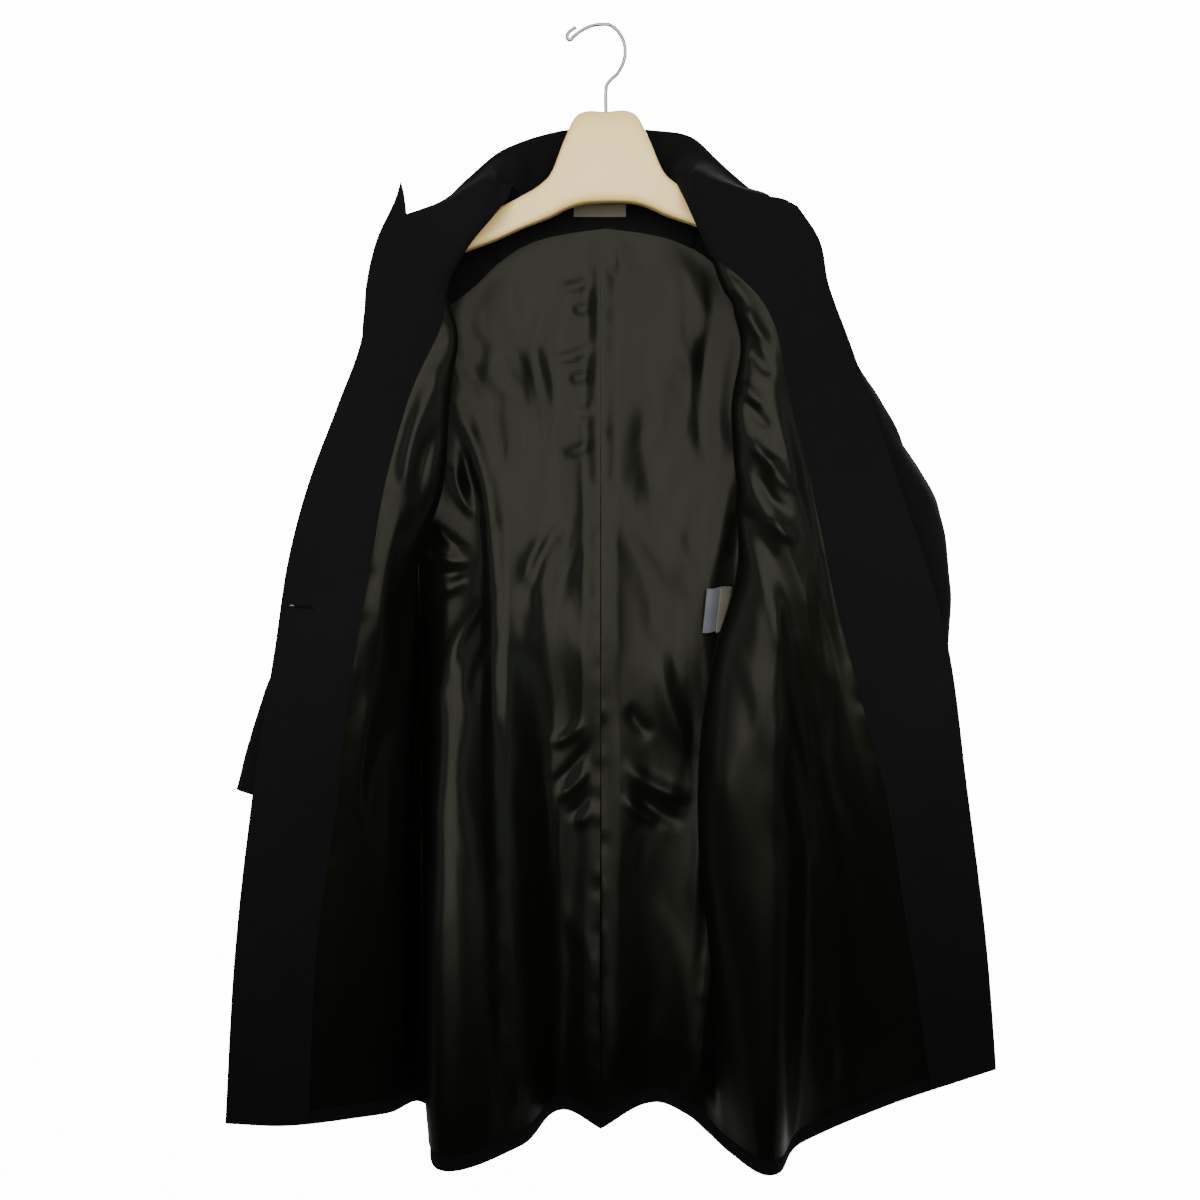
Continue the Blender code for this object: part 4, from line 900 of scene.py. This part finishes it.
def makeButton():
    drop, place = button["drop"], button["place"]
    base = leftHalf.point(np.array([place]), np.array([drop]))[0]
    step = leftHalf.point(np.array([place + 0.02]), np.array([drop]))[0] - base
    down = leftHalf.point(np.array([place]), np.array([drop + 0.004]))[0] - base
    away = unit(np.cross(step, down))
    radius, thick, profile, count = (button[key] for key in ("radius", "thickness", "profile", "corners"))
    vertices = []
    for share, height in profile:
        for turn in np.linspace(0, 2 * np.pi, count, endpoint=False):
            reach = radius * share
            vertices.append((reach * math.cos(turn), reach * math.sin(turn), thick * height))
    mesh = bpy.data.meshes.new("button")
    mesh.from_pydata(vertices, [], ringFaces(len(profile), count))
    turnOutward(mesh, joinWithin=1e-6)
    piece = addPiece("front_button", mesh, hornBlack, 35)
    turn = math.atan2(away[0], -away[1])
    piece.rotation_euler = (math.radians(90), 0, turn)
    piece.location = base + away * (cloth["wool"] + cloth["gap"] + button["shank"])
    tell(piece, ["button"])


makeButton()


# Labels, all bare
def surfaceY(side, x, drop):
    half = halves[side]
    places = np.linspace(0, 2.9, 200)
    line = half.point(places, np.full(200, drop))
    order = np.argsort(line[:, 0])
    return np.interp(x, line[order, 0], line[order, 1])


neckLabel = {
    "drops": (0.1600, 0.1718), "sides": (-0.0305, 0.0190), "offWool": 0.0036, "thickness": 0.0006,
    "cut": (0.050, 0.014),
}
# each leaf: place round the left half, which way it is thick, its way out of the seam as (out, depth)
careLabels = {
    "drops": (0.524, 0.566), "offWool": 0.0040, "thickness": 0.0005, "cut": (0.021, 0.043),
    "leaves": {
        "care_label_front": (2.20, 1, ((-.003, 0), (-.0115, -.0055), (-.0185, -.0105), (-.0250, -.0135)),
                             greyLabel, "grey_label"),
        "care_label_back": (2.26, -1, ((-.003, 0), (-.0060, -.0085), (-.0110, -.0150), (-.0165, -.0205)),
                            whiteLabel, "cream_label"),
    },
}


def makeNeckLabel():
    rows = []
    for drop in np.linspace(*neckLabel["drops"], 7):
        row = []
        for x in np.linspace(*neckLabel["sides"], 25):
            depth = surfaceY("right" if x < -0.005 else "left", x, drop) - neckLabel["offWool"]
            row.append((x, depth, -drop))
        rows.append(row)
    near = np.array(rows)
    # the tape's colour holds painted shade of the collar, not its own cream
    piece = shell("neck_label_tape", near, near + np.array((0, -neckLabel["thickness"], 0)), shadedCreamLabel)
    tell(piece, ["neck_label"])


def makeCareLabels():
    for node, (place, turned, route, look, slotName) in careLabels["leaves"].items():
        route = np.array(route)
        keys = np.arange(len(route), dtype=float)
        fine = smoothTable(keys, route, np.linspace(0, keys[-1], 24))
        rows = []
        for k, drop in enumerate(np.linspace(*careLabels["drops"], 18)):
            base = leftHalf.point(np.array([place]), np.array([drop]))[0]
            row = np.zeros((24, 3))
            row[:, 0] = base[0] + fine[:, 0]
            row[:, 1] = base[1] - careLabels["offWool"] + fine[:, 1]
            row[:, 2] = -drop - 0.0012 * np.sin(fine[:, 0] * 220) - 0.02 * np.abs(fine[:, 1])
            row[:, 1] += 0.0008 * math.sin(k * 0.6) * np.linspace(0, 1, 24)
            rows.append(row)
        near = np.array(rows)
        normals = unit(facetMean(near))
        piece = shell(node + "_tape", near, near + normals * careLabels["thickness"] * turned, look)
        tell(piece, [node])


makeNeckLabel()
makeCareLabels()


# Buttonhole in the right front: a worked slit with one loose pale stitch
buttonhole = {
    "place": (-0.2724, -0.5432),        # (x, z) on the facing
    "length": 0.0195, "width": 0.0016, "slope": -0.12, "thread": 0.0007, "offWool": 0.0006,
}


def makeButtonhole():
    facing = pieceGrids["facing", "right"][1].reshape(-1, 3)
    spot = int(np.argmin(np.linalg.norm(facing[:, (0, 2)] - np.array(buttonhole["place"]), axis=1)))
    centre = facing[spot] + np.array((0, -buttonhole["offWool"], 0))
    half, width = buttonhole["length"] / 2, buttonhole["width"]
    loop = []
    for turn in np.linspace(0, 2 * np.pi, 60):
        along = half * math.cos(turn)
        loop.append(centre + np.array((along, 0, width / 2 * math.sin(turn) + buttonhole["slope"] * along)))
    end = [centre + np.array((-half - 0.0015, -0.0004, 0.0012)),
           centre + np.array((-half + 0.0005, -0.0009, 0.0016)),
           centre + np.array((-half + 0.0022, -0.0006, 0.0008))]
    edge = tube("buttonhole_stitching", loop, buttonhole["thread"], thread, 3)
    speck = tube("buttonhole_loose_thread", end, buttonhole["thread"], paleThread, 3)
    for piece in (edge, speck):
        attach(piece, "root")


makeButtonhole()
print("trim")

# Studio: pale floor, lit white backdrop, strip lights in front, camera as in the photo
studio = {
    "floorDrop": 1.95, "backdropDepth": 2.7, "halfWidth": 5, "backdropTop": 3.5,
    "pale": "#f4f4f2", "glow": 14.0,
    # one wide light and three strips in front give the satin its long blurred highlights
    "wide": {"place": (0.0, -3.05, 0.0), "size": (3.6, 2.3), "power": 34},
    "strips": {"across": (-1.00, -0.15, 0.70), "depth": -3.0, "height": 0, "size": (0.56, 2.3), "power": 34},
    "sides": {"place": (2.0, -1.6, 0.1), "size": (0.9, 2.0), "power": 13, "tint": "#dcecff"},
    "rear": {"place": (0.9, 2.5, 0.5), "size": (2.2, 2.2), "power": 130},
    "ambient": 0.25,
    # a black flag under the front lights, out of the camera's sight, keeps their shine off the skirt
    "flag": {"halfWidth": 1.7, "depth": -0.9, "top": -0.735, "colour": "#050505"},
    "camera": {"place": (-0.0056, -1.8, -0.536), "lens": 57.8, "sensor": 36},
}


def areaLight(name, place, size, power, aim, tint="#ffffff"):
    data = bpy.data.lights.new(name, "AREA")
    data.shape = "RECTANGLE"
    data.size, data.size_y = size
    data.energy = power
    data.color = srgb(tint)[:3]
    lamp = bpy.data.objects.new(name, data)
    bpy.context.scene.collection.objects.link(lamp)
    lamp.location = place
    direction = np.array(aim) - np.array(place)
    yaw = math.atan2(direction[0], direction[1])
    pitch = math.atan2(direction[2], math.hypot(direction[0], direction[1]))
    lamp.rotation_euler = (math.pi / 2 + pitch, 0, -yaw)
    lamp.visible_camera = False
    return lamp


def stagePlane(name, corners, material):
    mesh = bpy.data.meshes.new(name)
    mesh.from_pydata(corners, [], [(0, 1, 2, 3)])
    plane = bpy.data.objects.new(name, mesh)
    mesh.materials.append(material)
    bpy.context.scene.collection.objects.link(plane)
    return plane


def uprightPlane(name, half, depth, low, high, material):
    corners = [(-half, depth, low), (half, depth, low), (half, depth, high), (-half, depth, high)]
    return stagePlane(name, corners, material)


def makeStage():
    pale = plainMaterial("matt pale paint", studio["pale"], {"Roughness": 0.9})
    glow = plainMaterial("lit white backdrop", "#ffffff", {
        "Roughness": 1.0, "Emission Color": (1, 1, 1, 1), "Emission Strength": studio["glow"]})
    flagLook = plainMaterial("black flag cloth", studio["flag"]["colour"], {
        "Roughness": 1.0, "Specular IOR Level": 0.0})
    half, low, back = studio["halfWidth"], -studio["floorDrop"], studio["backdropDepth"]
    corners = [(-half, -half, low), (half, -half, low), (half, back, low), (-half, back, low)]
    stagePlane("floor", corners, pale)
    backdrop = uprightPlane("backdrop", half, back, low, studio["backdropTop"], glow)
    backdrop.visible_diffuse = False
    backdrop.visible_glossy = False
    backdrop.visible_transmission = False
    flag = studio["flag"]
    blocker = uprightPlane("flag", flag["halfWidth"], flag["depth"], low, flag["top"], flagLook)
    blocker.visible_camera = False


def makeLights():
    wide, strips, rear, sides = (studio[key] for key in ("wide", "strips", "rear", "sides"))
    areaLight("wide front light", wide["place"], wide["size"], wide["power"], (0, 0, -0.3))
    for x in strips["across"]:
        place = (x, strips["depth"], strips["height"])
        areaLight("front strip light", place, strips["size"], strips["power"], (x * 0.4, 0, -0.3))
    areaLight("rear softbox", rear["place"], rear["size"], rear["power"], (0, 0, -0.5))
    x, y, z = sides["place"]
    for sign in (-1, 1):
        place = (sign * x, y, z)
        areaLight("side softbox", place, sides["size"], sides["power"], (0, 0, -0.5), sides["tint"])
    world = bpy.context.scene.world or bpy.data.worlds.new("studio air")
    bpy.context.scene.world = world
    world.use_nodes = True
    sky = world.node_tree.nodes["Background"]
    sky.inputs["Color"].default_value = srgb("#ffffff")
    sky.inputs["Strength"].default_value = studio["ambient"]


def makeCamera():
    data = bpy.data.cameras.new("photo camera")
    data.lens, data.sensor_width = studio["camera"]["lens"], studio["camera"]["sensor"]
    camera = bpy.data.objects.new("photo camera", data)
    camera.location = studio["camera"]["place"]
    camera.rotation_euler = (math.pi / 2, 0, 0)
    bpy.context.scene.collection.objects.link(camera)
    bpy.context.scene.camera = camera


makeStage()
makeLights()
makeCamera()
print("studio")
